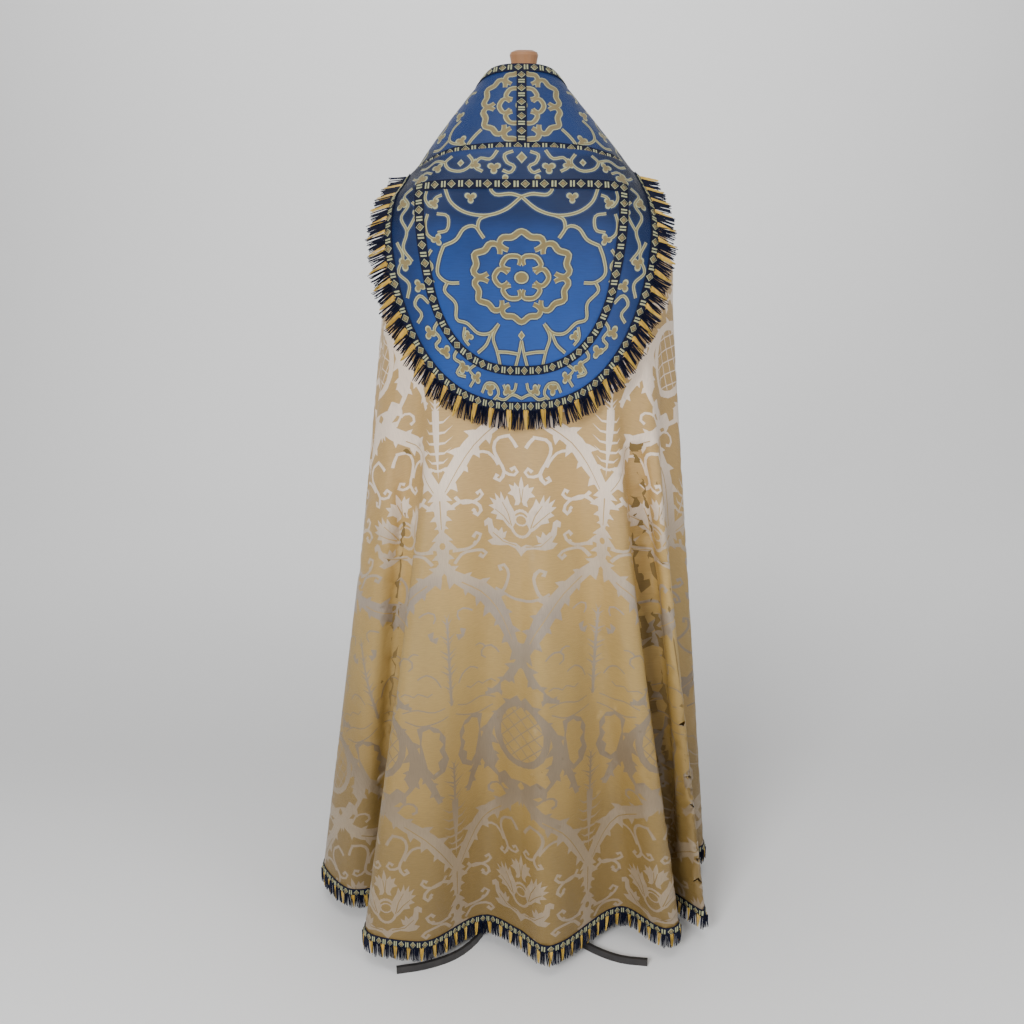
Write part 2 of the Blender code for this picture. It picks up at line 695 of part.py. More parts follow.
def make_morse(drape):
    """The plain band over both front edges at the chest."""
    reach = np.linspace(0, MORSE_REACH, MORSE_COLUMNS)
    rows = []
    for below_neck in np.linspace(MORSE_TOP, MORSE_TOP + MORSE_DEEP, MORSE_ROWS):
        ray, down = from_flat(np.full(MORSE_COLUMNS, NECK_HALF + below_neck), reach)
        right = drape.point(ray, down)
        left = drape.point(-ray, down)
        rows.append(np.vstack([left[::-1], right]))
    rows = np.array(rows) + (0, CLOTH + 2 * (GAP + BAND) + MORSE_LIFT, 0)
    bm = bmesh.new()
    grid = [[bm.verts.new(p) for p in row] for row in rows]
    for upper, lower in zip(grid, grid[1:]):
        for a, b, c, d in zip(upper, upper[1:], lower[1:], lower):
            bm.faces.new((a, b, c, d))
    grown = bmesh.ops.extrude_face_region(bm, geom=bm.faces[:], use_keep_orig=True)["geom"]
    for v in grown:
        if isinstance(v, bmesh.types.BMVert):
            v.co.y += MORSE_THICK
    bmesh.ops.recalc_face_normals(bm, faces=bm.faces)
    add_piece("morse", bm, BLUE, 0.5)


for old in list(bpy.data.objects):
    bpy.data.objects.remove(old)
collection = bpy.data.collections.new("cope_vestment")
bpy.context.scene.collection.children.link(collection)

folded, facet_rays = folded_drape()
hull = hull_drape()
cope = cope_panel(folded, facet_rays)
in_header = folded.above_hem(cope.middle) < HEM_HEADER
make_cope(cope)
make_orphreys(cope, in_header)
make_hem_fringe(cope, in_header, folded.above_hem(cope.flat))
make_hood(hood_panel(folded, hull))
make_morse(folded)
make_form(folded)
make_knob()
make_post("stand_pole", POLE_RADIUS, HUB_TOP + GAP, FORM_RINGS[-1][0] - GAP, IRON, 0.45, 0.9)
make_post("stand_hub", HUB_RADIUS, HUB_BOTTOM, HUB_TOP, IRON, 0.45, 0.9)
make_leg("stand_leg_left", LEG_LEFT)
make_leg("stand_leg_right", LEG_RIGHT)
make_leg("stand_leg_front", LEG_FRONT)
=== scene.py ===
"""Cope vestment on a dress form: its cloth, trims, stand and studio.

Metres, Z up. The cloth is worked out from its flat cut, half a circle whose
straight edge is the neck and the two fronts. Flat places are (along the
straight edge, below it). Pieces of the cloth are drawn in the flat and hung.
"""

import math

import bmesh
import bpy
import numpy as np
from bpy.props import FloatProperty, FloatVectorProperty, IntProperty, PointerProperty
from bpy.types import Operator, Panel, PropertyGroup
from mathutils import Matrix, Vector
from mathutils.geometry import delaunay_2d_cdt
from mathutils.kdtree import KDTree


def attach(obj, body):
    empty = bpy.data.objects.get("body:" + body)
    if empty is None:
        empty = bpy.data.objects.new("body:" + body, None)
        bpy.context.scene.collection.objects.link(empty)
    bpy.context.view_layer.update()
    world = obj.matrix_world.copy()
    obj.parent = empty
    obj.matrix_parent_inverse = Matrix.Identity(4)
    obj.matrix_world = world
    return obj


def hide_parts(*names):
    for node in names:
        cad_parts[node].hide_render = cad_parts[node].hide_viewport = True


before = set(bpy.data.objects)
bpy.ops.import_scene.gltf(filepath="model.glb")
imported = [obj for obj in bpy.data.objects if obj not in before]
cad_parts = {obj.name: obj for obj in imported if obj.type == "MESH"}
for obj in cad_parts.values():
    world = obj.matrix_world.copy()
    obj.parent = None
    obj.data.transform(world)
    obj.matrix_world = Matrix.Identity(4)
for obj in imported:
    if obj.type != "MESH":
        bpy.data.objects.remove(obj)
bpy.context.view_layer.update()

bl_info = {
    "name": "Cope Vestment",
    "version": (1, 0, 0),
    "blender": (4, 5, 0),
    "location": "View3D > Sidebar > Cope",
    "description": "Dresses the packed cope and its stand with woven cloth, braids and fringe",
    "category": "Object",
}

# The cut
NECK_HALF = 0.19
ORPHREY_WIDTH = 0.163
BRAID = 0.015
HEM_HEADER = 0.014
HEM_SLANT = 0.009
CLOTH = 0.0015
WALL_MORE = 0.0005
UNDER_BAND = 0.0012
BAND = 0.0012
GAP = 0.0003

# The hang, as the solids have it
NECK_RADIUS = 0.060
NECK_CENTRE_Y = -0.002
NECK_BACK_Z = 1.530
NECK_FRONT_DROP = 0.078
FRONT_GAP = 0.016
SHOULDER_LEFT = 0.234
SHOULDER_RIGHT = 0.256
SHOULDER_BACK = 0.215
SHOULDER_FRONT = 0.180
SHOULDER_SQUARE = 3.0
SHOULDER_Z = 1.170
SHOULDER_FRONT_DROP = 0.030
SLOPE = math.radians(47)
LEAVE_PULL = 0.64
FALL_PULL = 0.26
HEM_Z = 0.048
CREST = 0.030
HEM_FRONT_RISE = 0.040
HEM_FRONT_Y = 0.340
HEM_CENTRE = (0.0, -0.292)
HEM_LEFT = (
    (-0.073, -0.252), (-0.178, -0.320), (-0.280, -0.286), (-0.226, -0.178), (-0.335, -0.168),
    (-0.384, -0.078), (-0.262, -0.022), (-0.378, 0.062), (-0.232, 0.098), (-0.336, 0.196),
    (-0.176, 0.186), (-0.258, 0.306), (-0.182, 0.272), (-0.184, 0.334),
)
HEM_RIGHT = (
    (0.056, -0.329), (0.180, -0.229), (0.276, -0.279), (0.258, -0.176), (0.338, -0.222),
    (0.252, -0.088), (0.364, -0.022), (0.236, 0.030), (0.374, 0.110), (0.222, 0.128),
    (0.326, 0.226), (0.168, 0.196), (0.256, 0.308), (0.184, 0.272), (0.184, 0.334),
)
HULL_HALF = 0.400
HULL_BACK = 0.366
HULL_FRONT = 0.350
HULL_SQUARE = 2.7
HULL_SHOULDER_HALF = 0.258
HULL_SHOULDER_SQUARE = 4.2
SPAN_SAMPLES = 24
RING_SAMPLES = 1441
CAP_SAMPLES = 17

# The hood
HOOD_TOP = ORPHREY_WIDTH - 0.004
HOOD_TOP_HALF = 0.214
HOOD_HALF = 0.207
HOOD_SIDE_END = 0.352
HOOD_BOTTOM = 0.562
HOOD_SQUARE = 2.45
HOOD_INNER = 0.056
HOOD_TOP_INNER = 0.051
HOOD_BLEND = 0.06
HOOD_SEAT = 0.0064
HOOD_CLEAR = 0.008
HOOD_EYE = (0.0, -0.20, 1.20)
HOOD_DROOP = 0.75

# Troughs in the gold cloth: half width, depth, then the line in the flat
CREASES = (
    (0.021, 0.034, ((0.262, 0.600), (0.302, 0.704), (0.340, 0.807), (0.389, 0.938), (0.472, 1.163), (0.545, 1.365))),
    (0.019, 0.022, ((-0.298, 0.600), (-0.337, 0.692), (-0.379, 0.794), (-0.433, 0.923), (-0.526, 1.144),
                    (-0.605, 1.340))),
    (0.012, 0.004, ((-0.480, 0.625), (-0.430, 0.660), (-0.375, 0.720))),
    (0.010, 0.003, ((-0.490, 0.690), (-0.440, 0.720), (-0.400, 0.790))),
    (0.012, 0.003, ((-0.520, 0.760), (-0.470, 0.820))),
    (0.018, 0.004, ((-0.235, 0.600), (-0.255, 0.720), (-0.290, 0.860), (-0.315, 1.060))),
    (0.022, 0.004, ((-0.100, 0.620), (-0.150, 0.860), (-0.165, 1.060))),
    (0.024, 0.004, ((0.115, 0.640), (0.150, 0.860), (0.175, 1.080))),
    (0.026, 0.004, ((0.060, 0.960), (0.080, 1.180), (0.085, 1.400))),
    (0.026, 0.003, ((-0.060, 1.060), (-0.080, 1.260), (-0.085, 1.400))),
    (0.020, 0.004, ((0.215, 0.700), (0.260, 0.900), (0.320, 1.160), (0.350, 1.300))),
    (0.012, 0.002, ((-0.620, 1.000), (-0.560, 1.040), (-0.520, 1.110))),
    (0.012, 0.002, ((0.560, 0.860), (0.520, 0.930), (0.530, 1.040))),
)

# Damask drawings are in millimetres (x, y) of the flat, right half of one repeat
DAMASK_WIDTH = 253.0
DAMASK_HEIGHT = 690.0
DAMASK_TOP = 560.0
DAMASK_STRETCH = 1.37

# Ribbons with thorny edges: half widths along the line, then the line
RIBBONS = (
    ((10, 11, 12, 12, 8), ((0, 548), (38, 584), (74, 612), (98, 648), (126.5, 694))),
    ((5, 9.5, 8.5, 3.2), ((126.5, 688), (126.5, 712), (126.5, 736), (126.5, 758))),
    ((3.6, 9, 9, 4.0), ((126.5, 756), (126.5, 776), (126.5, 796), (126.5, 822))),
    ((5, 11, 14, 15, 13, 10, 7), ((126.5, 818), (106, 838), (82, 856), (58, 878), (38, 910), (18, 955), (2, 990))),
    ((5, 7, 8, 6, 3), ((0, 988), (14, 1012), (28, 1034), (44, 1054), (64, 1062))),
    ((6, 5, 6, 10, 12, 11, 9), ((4, 1062), (26, 1080), (47, 1106), (62, 1138), (64, 1176), (40, 1214), (0, 1246))),
    ((7, 6, 4), ((62, 1160), (84, 1196), (100, 1240))),
)

# Stems and volutes: half widths, then the line
STEMS = (
    ((2.8, 2.4, 2.4, 3.2), ((104, 699), (95, 710), (82, 712), (67, 708), (61, 699), (67, 694), (71, 699))),
    ((3.2, 2.6, 2.6, 3.6), ((111, 717), (98, 708), (84, 709), (70, 716), (64, 727), (70, 735), (76, 729))),
    ((3.2, 2.4, 2.4, 3.2), ((112, 789), (88, 790), (73, 782), (66, 769), (74, 765), (79, 772))),
    ((2.8, 2.4, 2.4, 3.6), ((110, 812), (97, 797), (79, 795), (63, 798), (57, 805), (64, 810), (69, 804))),
    ((2.6, 2.4, 2.4, 3.4), ((17, 606), (37, 612), (42, 628), (35, 648), (27, 667), (35, 682), (42, 676), (37, 671))),
    ((2.4, 2.2, 3.2), ((27, 667), (14, 672), (6, 666), (11, 658), (17, 663))),
    ((2.4, 2.2, 2.2), ((68, 630), (54, 631), (42, 643), (36, 655))),
    ((2.8, 2.4), ((7, 625), (12, 616), (18, 608))),
    ((2.6, 2.4, 3.2), ((50, 884), (33, 874), (24, 854), (22, 838), (30, 826), (38, 831), (34, 837))),
    ((2.4, 2.2, 2.2), ((0, 884), (14, 883), (30, 876), (44, 868))),
    ((1.4, 1.6, 1.2), ((40, 985), (52, 972), (66, 974), (70, 986), (62, 994))),
    ((1.2, 1.4, 1.0), ((62, 974), (70, 964), (80, 966))),
    ((1.1, 1.1, 1.1, 1.1), ((46, 1040), (58, 1034), (66, 1042), (78, 1034), (88, 1042), (98, 1036))),
    ((1.1, 1.3, 0.9), ((52, 1084), (76, 1094), (104, 1088), (120, 1080))),
    ((1.1, 1.2, 0.9), ((48, 1070), (70, 1064), (98, 1070), (116, 1064))),
    ((1.2, 1.4, 1.0), ((76, 1010), (90, 1002), (104, 1010), (112, 1026))),
    ((2.0, 1.8, 2.6), ((30, 1250), (44, 1236), (60, 1240), (62, 1252), (54, 1256))),
    ((1.5, 1.5, 1.2), ((92, 1120), (104, 1134), (100, 1156), (108, 1176))),
    ((1.4, 1.4, 1.2), ((84, 900), (98, 892), (110, 898), (106, 912))),
)

# Closed shapes of the figure, and shapes that show the ground on it
FIGURE_SHAPES = (
    ((0, 672), (3, 683), (4, 691), (11, 683), (12, 690), (20, 687), (16, 697), (22, 703), (13, 706), (9, 714),
     (11, 722), (4, 720), (0, 712)),
    ((16, 764), (10, 752), (9, 741), (13, 729), (19, 719), (23, 706), (27, 715), (33, 700), (34, 713), (42, 702),
     (40, 715), (50, 709), (44, 721), (52, 722), (43, 730), (49, 736), (39, 740), (41, 747), (30, 749), (23, 758)),
    ((0, 792), (8, 786), (20, 786), (32, 780), (42, 768), (46, 756), (47, 747), (53, 743), (60, 748), (59, 757),
     (54, 755), (53, 768), (46, 780), (55, 783), (48, 791), (36, 793), (22, 791), (10, 795), (3, 803), (0, 808)),
    ((27, 779), (24, 767), (30, 771), (32, 761), (37, 768), (43, 762), (43, 773), (35, 781)),
    ((76, 722), (80, 726), (76, 730), (72, 726)), ((76, 778), (80, 782), (76, 786), (72, 782)),
    ((126.5, 556), (133, 556), (131, 600), (128, 640), (126.5, 668), (125, 640), (122, 600), (120, 556)),
    ((70, 1098), (88, 1092), (104, 1100), (114, 1118), (112, 1142), (118, 1160), (110, 1182), (92, 1194),
     (78, 1180), (72, 1150), (74, 1120)),
    ((96, 930), (106, 926), (104, 938), (113, 936), (109, 948), (100, 942)),
)
GROUND_SHAPES = (
    ((16, 1050), (20, 1038), (30, 1034), (38, 1042), (38, 1054), (28, 1062), (18, 1060)),
    ((79, 1104), (90, 1099), (96, 1106), (106, 1108), (104, 1120), (110, 1130), (103, 1140), (108, 1154),
     (100, 1162), (102, 1176), (92, 1184), (84, 1172), (80, 1150), (76, 1126)),
    ((14, 1196), (30, 1186), (46, 1192), (52, 1206), (44, 1216), (34, 1208), (24, 1206), (18, 1214), (10, 1210)),
    ((0, 1258), (5, 1270), (9, 1286), (0, 1296)),
)

# Fine lines on the shapes: half width and line
FINE_LINES = (
    (0.9, ((16, 757), (21, 738), (31, 718))), (0.9, ((19, 755), (29, 742), (42, 730))),
    (0.9, ((8, 790), (28, 787), (46, 770))), (0.9, ((0, 716), (4, 704), (3, 692))),
    (0.8, ((84, 1172), (92, 1150), (98, 1120))), (0.8, ((86, 1156), (96, 1148))), (0.8, ((88, 1138), (98, 1130))),
    (0.8, ((18, 1204), (32, 1194), (46, 1204))), (1.0, ((126.5, 704), (126.5, 752))),
    (0.9, ((40, 590), (74, 618), (96, 650), (118, 690))), (0.9, ((100, 846), (66, 872), (40, 908), (16, 958))),
)

# Rings: centre, radii and half width
DAMASK_RINGS = (
    (0, 752, 17, 23, 2.2),
    (0, 746, 10, 9, 1.3),
    (0, 1128, 46, 58, 5.5),
)
DAMASK_EYE = (126.5, 780, 4.5, 6)
VEINS = ((576, 24, -12), (593, 26, -12), (610, 25, -11), (626, 22, -9), (641, 17, -8), (654, 11, -6))
PLUMES = ((908, 1062, 17), (1176, 1262, 21))

# Rose of six tipped petals: (turn in degrees, share of the radius)
ROSE_OUTER = ((-22, 0.68), (-27, 0.76), (-28.5, 0.88), (-22, 0.97), (-11, 0.94), (0, 1.05),
              (11, 0.94), (22, 0.97), (28.5, 0.88), (27, 0.76), (22, 0.68))
ROSE_INNER = ((-19, 0.29), (-26, 0.37), (-25, 0.47), (-13, 0.52), (0, 0.55),
              (13, 0.52), (25, 0.47), (26, 0.37), (19, 0.29))

# Straps of the hood, right half: half width, then the line
HOOD_STRAPS = (
    (2.4, ((0, 236), (20, 254), (48, 264), (78, 260), (98, 246), (108, 222))),
    (2.4, ((0, 222), (28, 220), (42, 224), (36, 233), (14, 232), (0, 236))),
    (2.4, ((46, 264), (58, 270), (61, 284), (53, 297))),
    (2.4, ((54, 296), (66, 280), (80, 283), (94, 300), (113, 309))),
    (2.4, ((113, 309), (122, 328), (127, 350), (114, 362), (96, 363))),
    (2.4, ((114, 362), (121, 374), (106, 394), (108, 418), (92, 424), (74, 440), (54, 440), (38, 426))),
    (2.4, ((38, 426), (49, 446), (43, 470), (37, 500))),
    (2.4, ((0, 452), (5, 474), (14, 502))),
    (2.4, ((4, 473), (24, 470), (43, 469))),
    (2.4, ((52, 440), (62, 458), (78, 470))),
    (2.2, ((112, 234), (122, 238), (128, 252), (138, 238), (136, 226))),
    (2.2, ((120, 262), (104, 266), (106, 286), (120, 290))),
    (2.2, ((126, 300), (136, 292), (138, 276), (134, 262))),
    (2.2, ((132, 314), (140, 326), (134, 338), (142, 350), (136, 362))),
    (2.2, ((96, 430), (100, 446), (92, 458))),
    (2.4, ((162, 216), (176, 226), (166, 244), (178, 262), (168, 286), (176, 310), (164, 330))),
    (2.2, ((160, 240), (150, 252), (156, 268), (168, 286))),
    (2.4, ((186, 300), (178, 322), (190, 344), (176, 362), (184, 382))),
    (2.4, ((150, 392), (162, 380), (174, 392), (166, 408), (176, 420))),
    (2.4, ((140, 420), (150, 432), (142, 446), (152, 456), (138, 470))),
    (2.4, ((112, 462), (122, 476), (110, 486), (120, 500), (104, 506))),
    (2.2, ((84, 488), (96, 496), (88, 508), (98, 522))),
    (2.4, ((76, 532), (66, 518), (50, 520), (44, 534), (54, 544))),
    (2.4, ((34, 520), (28, 532), (14, 530), (10, 518))),
    (2.2, ((0, 542), (18, 536), (34, 544), (48, 540))),
    (2.4, ((12, 166), (24, 172), (20, 184), (10, 190), (16, 200), (26, 196))),
    (2.4, ((34, 164), (44, 178), (60, 176), (66, 190), (54, 198))),
    (2.4, ((78, 168), (70, 182), (84, 196), (104, 192), (112, 178), (102, 168))),
    (2.4, ((112, 178), (132, 170), (150, 178), (164, 172))),
    (2.2, ((132, 196), (146, 190), (160, 200), (172, 192))),
)
HOOD_LOZENGES = ((0, 176, 8), (0, 444, 6), (88, 182, 5))
# Trefoils: middle, radius and turn in degrees
HOOD_TREFOILS = (
    (38, 192, 10, 180), (66, 186, 9, 0), (124, 186, 10, 200), (150, 202, 12, 20), (178, 240, 11, 10), (150, 262, 10, 160),
    (124, 246, 9, 200), (176, 332, 11, 170), (160, 366, 10, 20), (122, 300, 9, 90), (158, 436, 11, 140),
    (136, 466, 11, 320), (106, 492, 11, 140), (84, 508, 10, 320), (60, 526, 11, 180), (26, 530, 10, 0),
    (92, 444, 9, 135), (22, 212, 9, 0), (70, 238, 9, 180),
)
YOKE_TREFOILS = ((92, 138, 10, 200), (104, 84, 10, 45), (140, 112, 11, 160), (150, 60, 10, 20), (188, 110, 10, 200))

# Straps of the yoke, then of one stretch of the front band
YOKE_STRAPS = (
    (2.4, ((60, 122), (70, 132), (80, 146), (84, 158))),
    (2.4, ((84, 146), (104, 140), (116, 128), (112, 108), (98, 96))),
    (2.4, ((116, 128), (134, 140), (150, 136))),
    (2.4, ((78, 44), (92, 40), (100, 50), (94, 60))),
    (2.4, ((116, 70), (130, 60), (142, 72), (134, 90), (148, 104), (164, 96))),
    (2.4, ((164, 96), (180, 82), (174, 60), (188, 44), (206, 50))),
    (2.4, ((164, 96), (176, 114), (168, 132), (184, 146))),
)
BAND_STRAPS = (
    (2.4, ((-180, 79), (-160, 56), (-130, 48), (-104, 62), (-92, 79))),
    (2.4, ((-180, 79), (-160, 102), (-130, 110), (-104, 96), (-92, 79))),
    (2.4, ((-148, 79), (-136, 66), (-120, 72), (-120, 86), (-136, 92), (-148, 79))),
    (2.4, ((-104, 62), (-92, 40), (-70, 30), (-52, 36))),
    (2.4, ((-104, 96), (-92, 118), (-70, 128), (-52, 122))),
    (2.4, ((180, 79), (160, 56), (130, 48), (104, 62), (92, 79))),
    (2.4, ((180, 79), (160, 102), (130, 110), (104, 96), (92, 79))),
    (2.4, ((148, 79), (136, 66), (120, 72), (120, 86), (136, 92), (148, 79))),
    (2.4, ((104, 62), (92, 40), (70, 30), (52, 36))),
    (2.4, ((104, 96), (92, 118), (70, 128), (52, 122))),
)
BAND_REPEAT = 360.0
BAND_FIRST = 420.0

# Ranks of the flat drawings: what lies over what. On the blue bands and the hood, EDGE is a dark ring of painted
# shadow round each strap, rose, leaf and diamond
PLAIN, EDGE, LINE, CORE = 0, 1, 2, 3


class CopeSizes(PropertyGroup):
    """Sizes that a user would change."""

    cell: FloatProperty(
        name="Braid Repeat", description="Length of one diamond and its two bars",
        default=0.0262, min=0.01, max=0.06, unit="LENGTH")
    relief: FloatProperty(
        name="Braid Relief", description="How far the braid's thread stands up",
        default=0.0006, min=0.0, max=0.003, unit="LENGTH")
    hood_tuft: FloatProperty(
        name="Hood Fringe", description="Length of the hood's tufts",
        default=0.033, min=0.01, max=0.08, unit="LENGTH")
    hem_tuft: FloatProperty(
        name="Hem Fringe", description="Length of the hem's tufts",
        default=0.030, min=0.01, max=0.06, unit="LENGTH")
    hood_repeat: FloatProperty(
        name="Hood Tufts", description="One gold and one navy tuft of the hood",
        default=0.0270, min=0.01, max=0.06, unit="LENGTH")
    hem_repeat: FloatProperty(
        name="Hem Tufts", description="One gold and one navy tuft of the hem",
        default=0.0240, min=0.01, max=0.06, unit="LENGTH")
    damask_grid: FloatProperty(
        name="Damask Grid", description="Distance between the points that let the gold cloth bend",
        default=0.018, min=0.006, max=0.04, unit="LENGTH")
    weave: FloatProperty(
        name="Weave Ribs", description="Ribs of the cloth to a metre",
        default=900.0, min=100.0, max=4000.0)
    seed: IntProperty(
        name="Fringe Seed", description="Start of the tufts' small differences", default=7, min=0)


def colour(name, words, value):
    return FloatVectorProperty(
        name=name, description=words, default=value, min=0.0, max=1.0, size=3, subtype="COLOR")


class CopeColours(PropertyGroup):
    """Linear colours of the threads and of the stand."""

    # The lit and the low gold and figure colours are painted light and shade: lit at the top of the hang, painted
    # darker lower down.
    ground: colour("Gold Ground", "Ground of the damask in the light", (0.49, 0.310, 0.112))
    ground_shade: colour("Low Gold Ground", "Ground of the damask where it turns down", (0.308, 0.196, 0.055))
    figure: colour("Figure", "Satin figure of the damask in the light", (0.82, 0.67, 0.53))
    figure_shade: colour("Low Figure", "Satin figure where it turns down", (0.186, 0.134, 0.078))
    blue: colour("Blue", "Silk of the hood and the orphreys", (0.0145, 0.060, 0.250))
    navy: colour("Navy", "Ground of the braids and dark fringe", (0.004, 0.006, 0.024))
    cream: colour("Cream Thread", "Outlines and the diamonds of the braid", (0.42, 0.43, 0.24))
    gold: colour("Gold Thread", "Fill of the roses and straps", (0.25, 0.188, 0.076))
    tuft: colour("Gold Tuft", "Gold of the fringes", (0.70, 0.47, 0.095))
    linen: colour("Linen", "Cover of the dress form", (0.60, 0.54, 0.45))
    wood: colour("Wood", "Turned cap of the neck", (0.40, 0.195, 0.090))
    iron: colour("Iron", "Painted stand", (0.030, 0.028, 0.028))
    studio: colour("Studio", "Floor and backdrop", (0.74, 0.74, 0.74))


def smooth_curve(points, per_span):
    """A rounded curve through every point, as many dense points."""
    pts = np.array(points, float)
    pts = np.vstack([2 * pts[0] - pts[1], pts, 2 * pts[-1] - pts[-2]])
    steps = np.sqrt(np.linalg.norm(np.diff(pts, axis=0), axis=1))
    knots = np.concatenate([[0], np.cumsum(steps)])
    dense = []
    for i in range(1, len(pts) - 2):
        k0, k1, k2, k3 = knots[i - 1:i + 3]
        for t in np.linspace(k1, k2, per_span, endpoint=False):
            a1 = (k1 - t) / (k1 - k0) * pts[i - 1] + (t - k0) / (k1 - k0) * pts[i]
            a2 = (k2 - t) / (k2 - k1) * pts[i] + (t - k1) / (k2 - k1) * pts[i + 1]
            a3 = (k3 - t) / (k3 - k2) * pts[i + 1] + (t - k2) / (k3 - k2) * pts[i + 2]
            b1 = (k2 - t) / (k2 - k0) * a1 + (t - k0) / (k2 - k0) * a2
            b2 = (k3 - t) / (k3 - k1) * a2 + (t - k1) / (k3 - k1) * a3
            dense.append((k2 - t) / (k2 - k1) * b1 + (t - k1) / (k2 - k1) * b2)
    dense.append(pts[-2])
    return np.array(dense)


def run_along(points):
    return np.concatenate([[0], np.cumsum(np.linalg.norm(np.diff(points, axis=0), axis=1))])


def by_length(points, shares):
    """Points at the given shares of a polyline's length."""
    run = run_along(points)
    return np.stack([np.interp(np.array(shares) * run[-1], run, c) for c in points.T], axis=1)


def evenly(points, step):
    """A polyline's points, moved to about the given distance apart."""
    count = max(2, round(run_along(points)[-1] / step) + 1)
    return by_length(points, np.linspace(0, 1, count))


def both_sides(left, right, across):
    """A ring of points from a left and a right curve that both start at centre back."""
    ring = np.empty((len(across), left.shape[1]))
    for side, curve in ((-1, left), (1, right)):
        pick = across * side >= 0
        ring[pick] = by_length(curve, np.abs(across[pick]))
    return ring


def round_ring(half, back, front, square):
    """Right half of a rounded outline from centre back to the front gap."""
    turn = np.linspace(0, math.pi, 721)
    x = half * np.sin(turn).clip(0) ** (2 / square)
    c = np.cos(turn)
    y = -np.sign(c) * np.abs(c) ** (2 / square) * np.where(c > 0, back, front)
    keep = (x >= FRONT_GAP) | (turn < math.pi / 2)
    return np.stack([x[keep], y[keep]], axis=1)


def hem_curve(rows, end):
    """The folded hem from centre back, with every ridge and valley rounded."""
    marks = np.array((HEM_CENTRE,) + rows + (end,))
    course = [marks[0]]
    for before, turn, after in zip(marks, marks[1:], marks[2:]):
        along = (after - before) / np.linalg.norm(after - before) * CREST / 2
        course += [turn - along, turn + along]
    course.append(marks[-1])
    return smooth_curve(course, SPAN_SAMPLES)


def to_flat(across, down):
    turn = across * math.pi / 2
    return np.stack([NECK_HALF * across + down * np.sin(turn), down * np.cos(turn)], axis=-1)


def from_flat(flat):
    """Ray and distance down it, of places of the flat cut."""
    x, y = np.abs(flat[:, 0]), np.maximum(flat[:, 1], 0)
    lo, hi = np.zeros(len(x)), np.ones(len(x))
    for _ in range(34):
        mid = (lo + hi) / 2
        turn = mid * math.pi / 2
        outside = (x - NECK_HALF * mid) * np.cos(turn) > y * np.sin(turn)
        lo, hi = np.where(outside, mid, lo), np.where(outside, hi, mid)
    ray = (lo + hi) / 2
    return ray * np.sign(flat[:, 0]), np.hypot(x - NECK_HALF * ray, y)


class Drape:
    """The hung cloth: a cap over the shoulders and straight falls to the hem ring."""

    def __init__(self, hem_left, hem_right, reach_left, reach_right, square):
        self.across = np.linspace(-1, 1, RING_SAMPLES)
        bent = np.abs(self.across) ** 3
        turn = self.across * (math.pi - math.asin(FRONT_GAP / NECK_RADIUS))
        self.neck = np.stack([
            NECK_RADIUS * np.sin(turn),
            NECK_CENTRE_Y - NECK_RADIUS * np.cos(turn),
            NECK_BACK_Z - NECK_FRONT_DROP * ((1 - np.cos(turn)) / 2) ** 1.4,
        ], axis=1)
        left = round_ring(reach_left, SHOULDER_BACK, SHOULDER_FRONT, square) * (-1, 1)
        right = round_ring(reach_right, SHOULDER_BACK, SHOULDER_FRONT, square)
        plan = both_sides(left, right, self.across)
        self.shoulder = np.column_stack([plan, SHOULDER_Z - SHOULDER_FRONT_DROP * bent])
        plan = both_sides(hem_left, hem_right, self.across)
        self.hem = np.column_stack([plan, HEM_Z + HEM_FRONT_RISE * bent])

    def ring(self, table, across):
        return np.stack([np.interp(across, self.across, c) for c in table.T], axis=1)

    def cap(self, across):
        neck = self.ring(self.neck, across)
        shoulder = self.ring(self.shoulder, across)
        fall = self.ring(self.hem, across) - shoulder
        fall /= np.linalg.norm(fall, axis=1)[:, None]
        out = neck[:, :2] - (0, NECK_CENTRE_Y)
        out /= np.linalg.norm(out, axis=1)[:, None]
        leave = np.column_stack([out * math.cos(SLOPE), np.full(len(out), -math.sin(SLOPE))])
        span = np.linalg.norm(shoulder - neck, axis=1)[:, None]
        a = neck + leave * span * LEAVE_PULL
        b = shoulder - fall * span * FALL_PULL
        t = np.linspace(0, 1, CAP_SAMPLES)[None, :, None]
        n, a, b, s = (v[:, None, :] for v in (neck, a, b, shoulder))
        return (1 - t) ** 3 * n + 3 * t * (1 - t) ** 2 * a + 3 * t * t * (1 - t) * b + t ** 3 * s

    def length(self, across):
        cap = self.cap(across)
        over = np.linalg.norm(np.diff(cap, axis=1), axis=2).sum(axis=1)
        return over + np.linalg.norm(self.ring(self.hem, across) - cap[:, -1], axis=1)

    def point(self, across, down):
        cap = self.cap(across)
        steps = np.linalg.norm(np.diff(cap, axis=1), axis=2)
        run = np.concatenate([np.zeros((len(across), 1)), np.cumsum(steps, axis=1)], axis=1)
        rows = np.arange(len(across))
        k = np.clip((run < down[:, None]).sum(axis=1) - 1, 0, CAP_SAMPLES - 2)
        part = ((down - run[rows, k]) / steps[rows, k]).clip(0, 1)[:, None]
        on_cap = cap[rows, k] * (1 - part) + cap[rows, k + 1] * part
        fall = self.ring(self.hem, across) - cap[:, -1]
        fall /= np.linalg.norm(fall, axis=1)[:, None]
        return on_cap + fall * (down - run[:, -1]).clip(0)[:, None]


folded = Drape(hem_curve(HEM_LEFT, (-FRONT_GAP, HEM_FRONT_Y)),
               hem_curve(HEM_RIGHT, (FRONT_GAP, HEM_FRONT_Y)),
               SHOULDER_LEFT, SHOULDER_RIGHT, SHOULDER_SQUARE)
hull_half = round_ring(HULL_HALF, HULL_BACK, HULL_FRONT, HULL_SQUARE)
hull = Drape(hull_half * (-1, 1), hull_half,
             HULL_SHOULDER_HALF, HULL_SHOULDER_HALF, HULL_SHOULDER_SQUARE)


def cope_surface(flat):
    return folded.point(*from_flat(flat))


